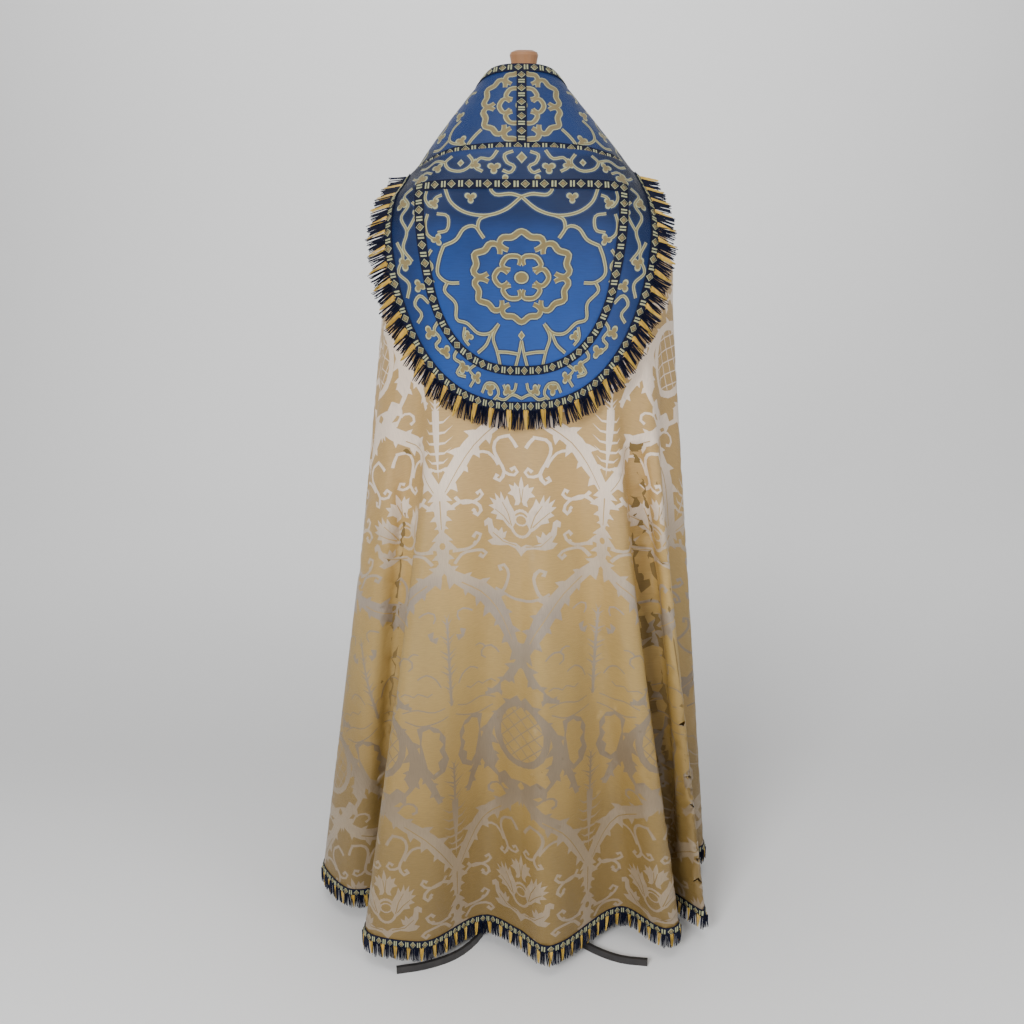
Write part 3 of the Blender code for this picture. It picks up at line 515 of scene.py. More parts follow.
def hood_surface(flat):
    ray, down = from_flat(flat)
    share = ((flat[:, 1] - HOOD_TOP) / HOOD_BLEND).clip(0, 1)[:, None]
    ease = share * share * (3 - 2 * share)
    return folded.point(ray, down) * (1 - ease) + hull.point(ray, down) * ease


def hang(flat, surface, step=0.003):
    """Places in space and outward directions of flat places."""
    flat = np.asarray(flat, float)
    place = surface(flat)
    sideways = surface(flat + (step, 0)) - surface(flat - (step, 0))
    downwards = surface(flat + (0, step)) - surface(flat - (0, step))
    out = np.cross(downwards, sideways)
    out /= np.linalg.norm(out, axis=1)[:, None].clip(1e-12)
    facing = (out[:, :2] * (place[:, :2] - (0, NECK_CENTRE_Y))).sum()
    return place, out * (1 if facing > 0 else -1)


def crease_depth(flat):
    """How deep the troughs press the gold cloth in."""
    depth = np.zeros(len(flat))
    for half, deep, points in CREASES:
        line = evenly(smooth_curve(points, 12), 0.010)
        inside = (flat > line.min(axis=0) - 3 * half) & (flat < line.max(axis=0) + 3 * half)
        near = np.flatnonzero(inside.all(axis=1))
        away = np.linalg.norm(flat[near, None, :] - line[None, :, :], axis=2)
        share = away.argmin(axis=1) / (len(line) - 1)
        depth[near] += deep * np.exp(-(away.min(axis=1) / half) ** 2) * np.sin(math.pi * share).clip(0) ** 0.35
    return depth


def hood_lift(flat):
    rise = ((flat[:, 1] - HOOD_TOP) / HOOD_BLEND).clip(0, 1)
    return HOOD_SEAT + (HOOD_CLEAR - HOOD_SEAT) * rise


def hood_outline(inset=0.0):
    """Half of the hood's edge in the cut, from its top corner to the bottom point."""
    half = HOOD_HALF - inset
    deep = HOOD_BOTTOM - HOOD_SIDE_END - inset
    turn = np.linspace(0, math.pi / 2, 90)
    x = half * np.cos(turn).clip(0) ** (2 / HOOD_SQUARE)
    y = HOOD_SIDE_END + deep * np.sin(turn) ** (2 / HOOD_SQUARE)
    return np.vstack([(HOOD_TOP_HALF - inset, HOOD_TOP), np.stack([x, y], axis=1)])


def around(corners):
    """Corners in order round their middle, so that no two sides cross."""
    corners = np.array(corners)
    off = corners - corners.mean(axis=0)
    return corners[np.argsort(np.arctan2(off[:, 1], off[:, 0]))]


def stroke(line, widths, rank, step=4.5, smooth=True):
    """A drawn line as short four sided pieces, each with its rank. Millimetres."""
    curve = evenly(smooth_curve(line, 8) if smooth else np.array(line, float), step)
    along = np.gradient(curve, axis=0)
    along /= np.linalg.norm(along, axis=1)[:, None]
    side = np.column_stack([-along[:, 1], along[:, 0]])
    share = np.linspace(0, 1, len(curve))
    width = np.interp(share, np.linspace(0, 1, len(widths)), widths)[:, None]
    left, right = curve + side * width, curve - side * width
    return [(rank, around((left[i], left[i + 1], right[i + 1], right[i]))) for i in range(len(curve) - 1)]


def strap(line, half):
    """A strap with a dark edge of painted shadow, a cream outline and a gold core."""
    return [part for wide, rank in ((half + 2.2, EDGE), (half, LINE), (half * 0.40, CORE))
            for part in stroke(line, (wide,), rank)]


def lozenge(x, y, r):
    """A small diamond with its outline."""
    rings = ((r + 3, EDGE), (r + 1.4, LINE), (r - 1.2, CORE))
    return [(rank, ((x, y - q), (x + q * 0.8, y), (x, y + q), (x - q * 0.8, y))) for q, rank in rings]


def trefoil(x, y, radius, turn):
    """A leaf of three lobes with its outline."""
    angles = np.radians(np.arange(0, 360, 15))
    lobes = 0.40 + 0.60 * np.abs(np.cos(angles * 1.5))
    shape = np.stack([np.sin(angles + math.radians(turn)), -np.cos(angles + math.radians(turn))], axis=1)
    return [(rank, (x, y) + shape * (lobes * (radius + more))[:, None])
            for more, rank in ((2.4, EDGE), (0.4, LINE), (-2.2, CORE))]


def ellipse(x, y, rx, ry, count=20):
    turn = np.linspace(0, math.tau, count, endpoint=False)
    return np.stack([x + rx * np.cos(turn), y + ry * np.sin(turn)], axis=1)


def rose(x, y, rx, ry, petals=6):
    """A rose of two rings of tipped petals round a disc."""
    parts = []
    for table, half, offset in ((ROSE_OUTER, 4.9, 0), (ROSE_INNER, 4.0, 30)):
        for k in range(petals):
            turn = np.radians([a + k * 60 + offset for a, _ in table])
            r = np.array([s for _, s in table])
            line = np.stack([x + rx * r * np.sin(turn), y - ry * r * np.cos(turn)], axis=1)
            for wide, rank in ((half + 2.0, EDGE), (half, LINE), (half - 1.5, CORE)):
                parts += stroke(line, (wide * 0.72, wide, wide, wide, wide * 0.72), rank, 4.0)
    for r, rank in ((0.175, EDGE), (0.145, LINE), (0.118, CORE)):
        parts.append((rank, ellipse(x, y, rx * r, ry * r)))
    return parts


def leafy(line, widths, tooth=33.0, reach=13.0):
    """A ribbon whose two edges run out into hollow sided thorns."""
    parts = stroke(line, widths, EDGE, 15.0)
    curve = smooth_curve(line, 8)
    total = run_along(curve)[-1]
    count = max(1, round(total / tooth))
    for side_sign in (1, -1):
        for k in range(count):
            share = (k + (0.30 if side_sign > 0 else 0.72)) / count
            here, ahead = by_length(curve, (share, min(1.0, share + 0.01)))
            along = (ahead - here) / np.linalg.norm(ahead - here)
            side = np.array((-along[1], along[0])) * side_sign
            wide = float(np.interp(share, np.linspace(0, 1, len(widths)), widths))
            tall = reach * (1.0, 0.6, 0.85)[k % 3] * min(1.0, wide / 8)
            foot = here + side * wide * 0.5
            parts.append((EDGE, np.array((
                foot - along * tall * 1.0,
                here + side * (wide + tall * 0.30) - along * tall * 0.36,
                here + side * (wide + tall) + along * tall * 0.55,
                here + side * (wide + tall * 0.16) + along * tall * 0.52,
                foot + along * tall * 0.85,
            ))))
    return parts


def damask_drawing():
    """The figure of half a repeat, and the ground that shows on it. Millimetres."""
    parts = []
    for widths, line in RIBBONS:
        parts += leafy(line, widths)
    for widths, line in STEMS:
        parts += stroke(line, widths, EDGE, 9.0)
    parts += [(EDGE, np.array(shape, float)) for shape in FIGURE_SHAPES]
    axis = DAMASK_WIDTH / 2
    for y, reach, rise in VEINS:
        parts.append((EDGE, np.array(((axis, y - 2.4), (axis - reach * 0.5, y + rise * 0.2), (axis - reach, y + rise),
                                      (axis - reach * 0.5, y + 3 + rise * 0.2), (axis, y + 2.4)))))
    for low, high, reach in PLUMES:
        for k, y in enumerate(np.arange(low, high, 9.0)):
            swell = 0.45 + 0.55 * math.sin(math.pi * (y - low) / (high - low))
            out = reach * (0.62 + 0.38 * math.sin(k * 1.9)) * swell
            parts.append((EDGE, np.array(((axis, y - 2.4), (axis - out, y - 12), (axis, y + 2.4)))))
        parts += stroke(((axis, low), (axis, high)), (1.5, 2.2), EDGE, 20, smooth=False)
    for x, y, rx, ry, half in DAMASK_RINGS:
        ring = ellipse(x, y, rx, ry, 18)
        parts += stroke(np.vstack([ring, ring[:1]]), (half,), EDGE, 0.16 * (rx + ry) + 3, smooth=False)
    parts += [(LINE, np.array(shape, float)) for shape in GROUND_SHAPES]
    parts.append((LINE, ellipse(*DAMASK_EYE, 10)))
    for half, line in FINE_LINES:
        parts += stroke(line, (half, half * 0.6), LINE, 20.0)
    # Net of the pineapple
    for k in range(-3, 4):
        line = np.array([(-46, 1082 + k * 26), (46, 1174 + k * 26)])
        inside = [p for p in evenly(line, 5) if (p[0] / 42) ** 2 + ((p[1] - 1128) / 54) ** 2 < 1]
        if len(inside) > 3:
            parts += stroke((inside[0], inside[-1]), (0.9,), CORE, 60, smooth=False)
    return parts


def signed_area(polygon):
    x, y = np.asarray(polygon, float).T
    return 0.5 * float((x * np.roll(y, -1) - np.roll(x, -1) * y).sum())


def draw_flat(region, parts, grid, edge_step=12.0):
    """Triangles of a flat region that follow every drawn part, with each one's rank."""
    region = np.asarray(region, float)
    closed = np.vstack([region, region[:1]])
    border = []
    for a, b in zip(closed, closed[1:]):
        count = max(1, round(np.linalg.norm(b - a) / edge_step))
        border += [a + (b - a) * i / count for i in range(count)]
    points = [tuple(p) for p in border]
    faces = [list(range(len(points)))]
    ranks = [PLAIN]
    low, high = region.min(axis=0), region.max(axis=0)
    for rank, polygon in parts:
        polygon = np.asarray(polygon, float)
        if (polygon.max(axis=0) < low).any() or (polygon.min(axis=0) > high).any():
            continue
        area = signed_area(polygon)
        if abs(area) < 0.05:
            continue
        if area < 0:
            polygon = polygon[::-1]
        faces.append(list(range(len(points), len(points) + len(polygon))))
        points += [tuple(p) for p in polygon]
        ranks.append(rank)
    wide, tall = grid
    for j, y in enumerate(np.arange(low[1] + tall / 2, high[1], tall)):
        for x in np.arange(low[0] + wide * (0.3 + 0.5 * (j % 2)), high[0], wide):
            points.append((x, y))
    if signed_area(region) < 0:
        faces[0] = faces[0][::-1]
    verts, _, tris, _, _, owners = delaunay_2d_cdt(
        [Vector(p) for p in points], [], faces, 0, 1e-4, True)
    keep = [i for i, own in enumerate(owners) if 0 in own]
    flat = np.array([v[:] for v in verts])
    return flat, np.array([tris[i] for i in keep]), np.array([max(ranks[k] for k in owners[i]) for i in keep])


def mirrored(flat, faces, ranks):
    """A right half and its mirror image."""
    both = np.vstack([flat, flat * (-1, 1)])
    return both, np.vstack([faces, faces[:, ::-1] + len(flat)]), np.concatenate([ranks, ranks])


def merged(flat, faces, ranks, close=1e-5):
    """Joins points of the same place, and drops what that leaves without area."""
    keys = np.round(flat / close).astype(np.int64)
    _, first, back = np.unique(keys, axis=0, return_index=True, return_inverse=True)
    faces = back.reshape(-1)[faces]
    a, b, c = faces.T
    whole = (a != b) & (b != c) & (a != c)
    used, place = np.unique(faces[whole], return_inverse=True)
    return flat[first][used], place.reshape(-1, 3), ranks[whole]


def new_piece(name, verts, faces, materials, ranks=None, uv=None, smooth=True):
    """An object from points and faces, with materials by rank and the cut as its UV map."""
    mesh = bpy.data.meshes.new(name)
    mesh.from_pydata([tuple(v) for v in verts], [], [tuple(int(i) for i in f) for f in faces])
    for mat in materials:
        mesh.materials.append(mat)
    if ranks is not None:
        mesh.polygons.foreach_set("material_index", np.asarray(ranks, np.int32))
    if uv is not None:
        layer = mesh.uv_layers.new(name="Cut")
        loops = np.empty(len(mesh.loops), np.int32)
        mesh.loops.foreach_get("vertex_index", loops)
        layer.data.foreach_set("uv", np.asarray(uv, np.float32)[loops].ravel())
    mesh.polygons.foreach_set("use_smooth", np.full(len(mesh.polygons), smooth))
    mesh.update()
    obj = bpy.data.objects.new(name, mesh)
    bpy.context.scene.collection.objects.link(obj)
    return obj


def thicken(obj, thick):
    """The cloth's wall, on its inner side."""
    wall = obj.modifiers.new("Wall", "SOLIDIFY")
    wall.thickness = thick
    wall.offset = -1
    wall.use_even_offset = False
    return obj


def node_material(name, colour_value, rough, **sockets):
    """A material with its constants on the shader, and its nodes and links to build on."""
    mat = bpy.data.materials.new(name)
    mat.use_nodes = True
    tree = mat.node_tree
    shader = tree.nodes["Principled BSDF"]
    shader.inputs["Base Color"].default_value = (*colour_value, 1)
    shader.inputs["Roughness"].default_value = rough
    for socket, value in sockets.items():
        shader.inputs[socket.replace("_", " ").title().replace("Ior", "IOR")].default_value = value
    return mat, tree, shader


def texture_place(tree, scale, turn=0.0, cut=True):
    """The cut's own UV map, or the object's coordinates, scaled and turned."""
    place = tree.nodes.new("ShaderNodeTexCoord")
    mapping = tree.nodes.new("ShaderNodeMapping")
    mapping.inputs["Scale"].default_value = scale
    mapping.inputs["Rotation"].default_value = (0, 0, turn)
    tree.links.new(place.outputs["UV" if cut else "Object"], mapping.inputs["Vector"])
    return mapping.outputs["Vector"]


def ribs(tree, across, scale, turn=0.0, distort=0.6, cut=True):
    wave = tree.nodes.new("ShaderNodeTexWave")
    wave.bands_direction = across
    wave.inputs["Scale"].default_value = scale
    wave.inputs["Distortion"].default_value = distort
    wave.inputs["Detail"].default_value = 1.0
    tree.links.new(texture_place(tree, (1, 1, 1), turn, cut), wave.inputs["Vector"])
    return wave.outputs["Fac"]


def cloud(tree, scale, detail=3.0, cut=False, stretch=(1, 1, 1)):
    noise = tree.nodes.new("ShaderNodeTexNoise")
    noise.inputs["Scale"].default_value = scale
    noise.inputs["Detail"].default_value = detail
    tree.links.new(texture_place(tree, stretch, cut=cut), noise.inputs["Vector"])
    return noise.outputs["Fac"]


def blend_colours(tree, share, low, high):
    mix = tree.nodes.new("ShaderNodeMix")
    mix.data_type = "RGBA"
    tree.links.new(share, mix.inputs["Factor"])
    for socket, value in ((mix.inputs[6], low), (mix.inputs[7], high)):
        if isinstance(value, bpy.types.NodeSocket):
            tree.links.new(value, socket)
        else:
            socket.default_value = (*value, 1)
    return mix.outputs[2]


def ramp(tree, share, stops):
    node = tree.nodes.new("ShaderNodeValToRGB")
    node.color_ramp.interpolation = "EASE"
    while len(node.color_ramp.elements) < len(stops):
        node.color_ramp.elements.new(0.5)
    for element, (at, value) in zip(node.color_ramp.elements, stops):
        element.position = at
        element.color = (*value, 1)
    tree.links.new(share, node.inputs["Fac"])
    return node.outputs["Color"]


def bump(tree, shader, heights, distance=0.0004):
    """Relief from one or more height outputs, each with its strength."""
    normal = None
    for height, strength in heights:
        node = tree.nodes.new("ShaderNodeBump")
        node.inputs["Strength"].default_value = strength
        node.inputs["Distance"].default_value = distance
        tree.links.new(height, node.inputs["Height"])
        if normal is not None:
            tree.links.new(normal, node.inputs["Normal"])
        normal = node.outputs["Normal"]
    tree.links.new(normal, shader.inputs["Normal"])


# Scales a colour: used for the real tone of threads, grain and wear, and for painted light and shade.
def tone_and_shade(value, share):
    return tuple(c * share for c in value)


def height_share(tree, spread):
    """0 at the floor and 1 at 1.6 m up, with a little noise, for the painted light and shade of silk as it hangs away
    from the light.
    """
    place = tree.nodes.new("ShaderNodeTexCoord")
    parts = tree.nodes.new("ShaderNodeSeparateXYZ")
    tree.links.new(place.outputs["Object"], parts.inputs["Vector"])
    share = tree.nodes.new("ShaderNodeMath")
    share.operation = "MULTIPLY_ADD"
    share.inputs[1].default_value = 1 / 1.6
    tree.links.new(parts.outputs["Z"], share.inputs[0])
    wander = tree.nodes.new("ShaderNodeMath")
    wander.operation = "MULTIPLY_ADD"
    wander.inputs[1].default_value = spread
    wander.inputs[2].default_value = -spread / 2
    tree.links.new(cloud(tree, 5.0, 2.0), wander.inputs[0])
    tree.links.new(wander.outputs["Value"], share.inputs[2])
    return share.outputs["Value"]


def away_from_middle(tree, value, near, far, least):
    """The value, less at the sides: painted shade where satin looks away from the light."""
    place = tree.nodes.new("ShaderNodeTexCoord")
    parts = tree.nodes.new("ShaderNodeSeparateXYZ")
    tree.links.new(place.outputs["Object"], parts.inputs["Vector"])
    aside = tree.nodes.new("ShaderNodeMath")
    aside.operation = "ABSOLUTE"
    tree.links.new(parts.outputs["X"], aside.inputs[0])
    share = tree.nodes.new("ShaderNodeMapRange")
    share.interpolation_type = "SMOOTHSTEP"
    for socket, amount in (("From Min", near), ("From Max", far), ("To Min", 1.0), ("To Max", least)):
        share.inputs[socket].default_value = amount
    tree.links.new(aside.outputs["Value"], share.inputs["Value"])
    product = tree.nodes.new("ShaderNodeMath")
    product.operation = "MULTIPLY"
    tree.links.new(value, product.inputs[0])
    tree.links.new(share.outputs["Result"], product.inputs[1])
    return product.outputs["Value"]


def silk(name, colours, rough, weave, across="Y", lift=0.35, cut=True, spread=0.09, painted_sheen=0.0, sides=None,
         **sockets):
    """Woven silk: ribs, threads of varied tone, soft streaks of painted highlight and shade, painted light and shade
    down its hang when given more than one colour, and painted shade at the sides when given sides.
    """
    mat, tree, shader = node_material(name, colours[-1][1], rough, **sockets)
    tone = tree.nodes.new("ShaderNodeHueSaturation")
    if len(colours) > 1:
        tree.links.new(ramp(tree, height_share(tree, spread), colours), tone.inputs["Color"])
    else:
        tone.inputs["Color"].default_value = (*colours[0][1], 1)
    value = None
    # First pass: random tone of the threads. Second pass: painted sheen, soft streaks of painted highlight and shade.
    for strength, source in ((0.40, cloud(tree, 60.0, 4.0, cut, (9, 1, 1) if across == "X" else (1, 9, 1))),
                             (painted_sheen, cloud(tree, 11.0, 2.0, stretch=(1, 1, 0.22)))):
        tone_and_sheen = tree.nodes.new("ShaderNodeMath")
        tone_and_sheen.operation = "MULTIPLY_ADD"
        tone_and_sheen.inputs[1].default_value = strength
        tree.links.new(source, tone_and_sheen.inputs[0])
        if value is None:
            tone_and_sheen.inputs[2].default_value = 1 - strength / 2 - painted_sheen / 2
        else:
            tree.links.new(value, tone_and_sheen.inputs[2])
        value = tone_and_sheen.outputs["Value"]
    if sides:
        value = away_from_middle(tree, value, *sides)
    tree.links.new(value, tone.inputs["Value"])
    tree.links.new(tone.outputs["Color"], shader.inputs["Base Color"])
    bump(tree, shader, ((ribs(tree, across, weave, cut=cut), lift), (cloud(tree, 900.0, 2.0, cut), 0.25)))
    return mat


def make_materials(scene):
    """Every finish, by name."""
    c, weave = scene.cope_colours, scene.cope_sizes.weave
    gold, low = tuple(c.ground), tuple(c.ground_shade)
    figure, dim = tuple(c.figure), tuple(c.figure_shade)
    mats = {}
    # Painted light and shade: the ground is painted lit near the top and darker toward the hem.
    mats["ground"] = silk(
        "gold_ground", ((0.06, tone_and_shade(low, 0.62)), (0.14, tone_and_shade(low, 0.68)), (0.2375, low),
                        (0.3625, (0.38, 0.25, 0.078)), (0.469, (0.445, 0.285, 0.090)), (0.5625, gold)),
        0.42, weave, "Y", 0.30, painted_sheen=0.45)
    # Painted highlight on the satin figure near the top, painted grey shade lower down, a little lighter again near
    # the hem.
    mats["figure"] = silk(
        "ivory_figure", ((0.06, (0.27, 0.205, 0.135)), (0.12, (0.28, 0.210, 0.130)), (0.2375, dim),
                         (0.3625, (0.25, 0.195, 0.132)), (0.425, (0.315, 0.252, 0.192)), (0.469, (0.47, 0.37, 0.265)),
                         (0.5625, figure)),
        0.32, weave * 0.8, "X", 0.16, painted_sheen=0.40)
    # Inner side: the low ground colour, which holds painted shade, made darker still.
    mats["reverse"] = silk("gold_reverse", ((0.0, tone_and_shade(low, 0.6)),), 0.7, weave, "Y", 0.3)
    blue = tuple(c.blue)
    # Painted light and shade on the blue silk by height: dark bands at the hood's top and the yoke, lighter lower on
    # the hood, and painted shade toward the sides.
    hood_light_and_shade = ((0.58, 1.05), (0.68, 1.08), (0.75, 0.98), (0.80, 0.70), (0.825, 0.30), (0.868, 0.26), (0.880, 0.56),
                  (0.95, 0.50))
    mats["blue"] = silk("blue_silk", tuple((at, tone_and_shade(blue, k)) for at, k in hood_light_and_shade), 0.42, weave * 0.8,
                        "Y", 0.45, spread=0.02, painted_sheen=0.75, sides=(0.10, 0.19, 0.42), specular_ior_level=0.3)
    # Dark rings round the straps, roses, leaves and diamonds of the bands and hood: painted shadow.
    mats["shadow"] = silk("blue_silk_painted_shadow", ((0.0, tone_and_shade(blue, 0.38)),), 0.5, weave * 0.8, "Y", 0.45)
    mats["morse"] = silk("morse_silk", ((0.0, blue),), 0.42, 300.0, "X", 0.5, cut=False)
    mats["navy"] = silk("navy_silk", ((0.0, tuple(c.navy)),), 0.6, weave, "X", 0.4, specular_ior_level=0.2)
    mats["cream"] = silk("cream_thread", ((0.0, tuple(c.cream)),), 0.5, weave, "X", 0.5)
    mats["gold"] = silk("gold_thread", ((0.0, tuple(c.gold)),), 0.42, weave * 0.5, "Y", 0.8)
    for name, value, rough in (("tuft_gold", tuple(c.tuft), 0.45), ("tuft_navy", tuple(c.navy), 0.6)):
        mat, tree, shader = node_material(name, value, rough, specular_ior_level=0.25)
        strands = cloud(tree, 160.0, 3.0, stretch=(1, 1, 0.12))
        tree.links.new(blend_colours(tree, strands, tone_and_shade(value, 0.35), tone_and_shade(value, 1.6)),
                       shader.inputs["Base Color"])
        bump(tree, shader, ((strands, 0.5),))
        mats[name] = mat
    mat, tree, shader = node_material("linen", tuple(c.linen), 0.9)
    tree.links.new(blend_colours(tree, cloud(tree, 90.0), tone_and_shade(c.linen, 0.82), tone_and_shade(c.linen, 1.1)),
                   shader.inputs["Base Color"])
    bump(tree, shader, ((ribs(tree, "X", 420.0, cut=False), 0.3), (ribs(tree, "Z", 420.0, cut=False), 0.3)))
    mats["linen"] = mat
    mat, tree, shader = node_material("turned_wood", tuple(c.wood), 0.48, coat_weight=0.15)
    grain = cloud(tree, 34.0, 5.0, stretch=(1, 1, 0.16))
    tree.links.new(blend_colours(tree, grain, tone_and_shade(c.wood, 0.72), tone_and_shade(c.wood, 1.18)),
                   shader.inputs["Base Color"])
    bump(tree, shader, ((grain, 0.25), (ribs(tree, "Z", 160.0, cut=False), 0.05)))
    mats["wood"] = mat
    mat, tree, shader = node_material("painted_iron", tuple(c.iron), 0.5, metallic=0.35)
    worn = cloud(tree, 55.0, 5.0)
    tree.links.new(blend_colours(tree, worn, tone_and_shade(c.iron, 0.7), tone_and_shade(c.iron, 1.9)),
                   shader.inputs["Base Color"])
    bump(tree, shader, ((cloud(tree, 260.0, 3.0), 0.25),))
    mats["iron"] = mat
    return mats


finishes = {}


def finish(name):
    if not finishes:
        finishes.update(make_materials(bpy.context.scene))
    return finishes[name]


def snap_to_cut(flat, faces, ranks):
    """Keeps what touches the half circle, and pulls its outer points on to the hem and straight edge."""
    ray, down = from_flat(flat)
    reach = folded.length(ray)
    inside = (down < reach) & (flat[:, 1] > 0)
    keep = inside[faces].any(axis=1)
    flat = flat.copy()
    over = down > reach
    flat[over] = to_flat(ray[over], reach[over])
    flat[flat[:, 1] < 0, 1] = 0
    return merged(flat, faces[keep], ranks[keep], 1e-6)


def damask_cloth(grid):
    """The whole cut with the damask's figure, as triangles in the flat."""
    parts, drawn = damask_drawing(), []
    for shift in (-DAMASK_HEIGHT, 0, DAMASK_HEIGHT):
        for turn in (1, -1):
            for side in (0, DAMASK_WIDTH):
                drawn += [(rank, np.asarray(p) * (turn, 1) + (side, shift)) for rank, p in parts]
    low, high = DAMASK_TOP, DAMASK_TOP + DAMASK_HEIGHT
    half = ((0, low), (DAMASK_WIDTH / 2, low), (DAMASK_WIDTH / 2, high), (0, high))
    flat, faces, ranks = draw_flat(half, drawn, (grid * 1000 / DAMASK_STRETCH, grid * 1000))
    flat, faces, ranks = mirrored(flat, faces, ranks)
    tiles = []
    for i in range(-6, 7):
        for j in (-1, 0, 1):
            tiles.append((flat + (i * DAMASK_WIDTH, j * DAMASK_HEIGHT)) * (DAMASK_STRETCH / 1000, 0.001))
    count = len(flat)
    every = np.vstack(tiles)
    faces = np.vstack([faces + k * count for k in range(len(tiles))])
    ranks = np.tile(ranks, len(tiles))
    return snap_to_cut(every, faces, ranks)


def outward(place, out, faces):
    """Faces turned so that they look the way the cloth's outer side does."""
    a, b, c = (place[faces[:, i]] for i in range(3))
    facing = (np.cross(b - a, c - a) * out[faces[:, 0]]).sum(axis=1)
    faces = faces.copy()
    flip = facing < 0
    faces[flip] = faces[flip][:, ::-1]
    return faces


def hang_piece(name, flat, faces, ranks, materials, surface, lift):
    place, out = hang(flat, surface)
    faces = outward(place, out, faces)
    return new_piece(name, place + out * np.broadcast_to(lift, len(flat))[:, None], faces,
                     materials, ranks, flat)


def edge_loop(faces):
    """The points round a sheet's border, in order."""
    sides = np.sort(np.vstack([faces[:, (0, 1)], faces[:, (1, 2)], faces[:, (2, 0)]]), axis=1)
    once, count = np.unique(sides, axis=0, return_counts=True)
    beside = {}
    for a, b in once[count == 1]:
        beside.setdefault(int(a), []).append(int(b))
        beside.setdefault(int(b), []).append(int(a))
    longest = []
    while beside:
        loop = [next(iter(beside))]
        while beside.get(loop[-1]):
            here = loop[-1]
            there = beside[here].pop()
            beside[there].remove(here)
            loop.append(there)
        beside = {point: others for point, others in beside.items() if others}
        longest = max(longest, loop, key=len)
    return longest[:-1]


def lined_cloth(flat, faces, ranks, grid):
    """The drawn outer side with a plain inner side and a rim: flat places, faces, ranks and which side."""
    loop = edge_loop(faces)
    inner, inner_faces, plain = draw_flat(flat[loop] * 1000, [], (grid * 1000, grid * 1000), edge_step=1e6)
    inner, inner_faces, _ = merged(inner / 1000, inner_faces, plain, 1e-8)
    places = KDTree(len(inner))
    for i, (x, y) in enumerate(inner):
        places.insert((x, y, 0), i)
    places.balance()
    start = len(flat)
    below = [places.find((*flat[k], 0))[1] + start for k in loop]
    rim = []
    for a, b, a_in, b_in in zip(loop, loop[1:] + loop[:1], below, below[1:] + below[:1]):
        if a_in != b_in:
            rim += [(a, b, b_in), (a, b_in, a_in)]
    every = np.vstack([faces, inner_faces + start, rim])
    marks = np.concatenate([ranks % 2, np.full(len(inner_faces) + len(rim), 2)])
    kinds = np.concatenate([np.zeros(len(faces)), np.ones(len(inner_faces)), np.full(len(rim), 2)])
    return np.vstack([flat, inner]), every, marks, kinds


class COPE_OT_body(Operator):
    """Gold damask half circle, hung in its folds"""

    bl_idname = "cope.body"
    bl_label = "Damask Cloth"

    def execute(self, context):
        grid = context.scene.cope_sizes.damask_grid
        # Lines over the figure show the ground, and cores over those the figure
        outer, faces, ranks = damask_cloth(grid)
        flat, faces, marks, kinds = lined_cloth(outer, faces, ranks, grid)
        place, out = hang(flat, cope_surface)
        faces[kinds == 0] = outward(place, out, faces[kinds == 0])
        faces[kinds == 1] = outward(place, -out, faces[kinds == 1])
        under_band = UNDER_BAND * (flat[:, 1] < ORPHREY_WIDTH - BRAID)
        lift = np.where(np.arange(len(flat)) < len(outer), CLOTH, -WALL_MORE) - crease_depth(flat) - under_band
        body = new_piece("damask_cope", place + out * lift[:, None], faces,
                         [finish("ground"), finish("figure"), finish("reverse")], marks, flat)
        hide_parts("cope_body")
        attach(body, "root")
        return {"FINISHED"}


def band_drawing():
    """Yoke and fronts of the right orphrey. Millimetres."""
    parts = rose(0, 82, 61, 66)
    for half, line in YOKE_STRAPS:
        parts += strap(line, half)
    for leaf in YOKE_TREFOILS:
        parts += trefoil(*leaf)
    for k in range(4):
        x = BAND_FIRST + k * BAND_REPEAT
        parts += rose(x, 79, 44, 44)
        for half, line in BAND_STRAPS:
            parts += strap([(px + x, py) for px, py in line], half)
        parts += lozenge(x + BAND_REPEAT / 2, 79, 12)
    return parts


class COPE_OT_orphreys(Operator):
    """Blue bands along the neck and both fronts, with roses and straps"""

    bl_idname = "cope.orphreys"
    bl_label = "Orphreys"

    def execute(self, context):
        end, wide = front_end() * 1000, ORPHREY_WIDTH * 1000
        region = ((0, 0), (end, 0), (end - HEM_SLANT * 1000, wide), (0, wide))
        flat, faces, ranks = draw_flat(region, band_drawing(), (11.0, 11.0))
        flat, faces, ranks = merged(flat / 1000, faces, ranks, 1e-6)
        for name, side in (("orphrey_left", -1), ("orphrey_right", 1)):
            placed = flat * (side, 1)
            if side > 0:
                placed = placed + (GAP, 0) * (flat[:, :1] < 1e-6)
            band = hang_piece(name + "_silk", placed, faces, ranks,
                              [finish(n) for n in ("blue", "shadow", "cream", "gold")],
                              cope_surface, CLOTH + GAP + BAND)
            thicken(band, BAND)
            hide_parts(name)
            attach(band, "root")
        return {"FINISHED"}


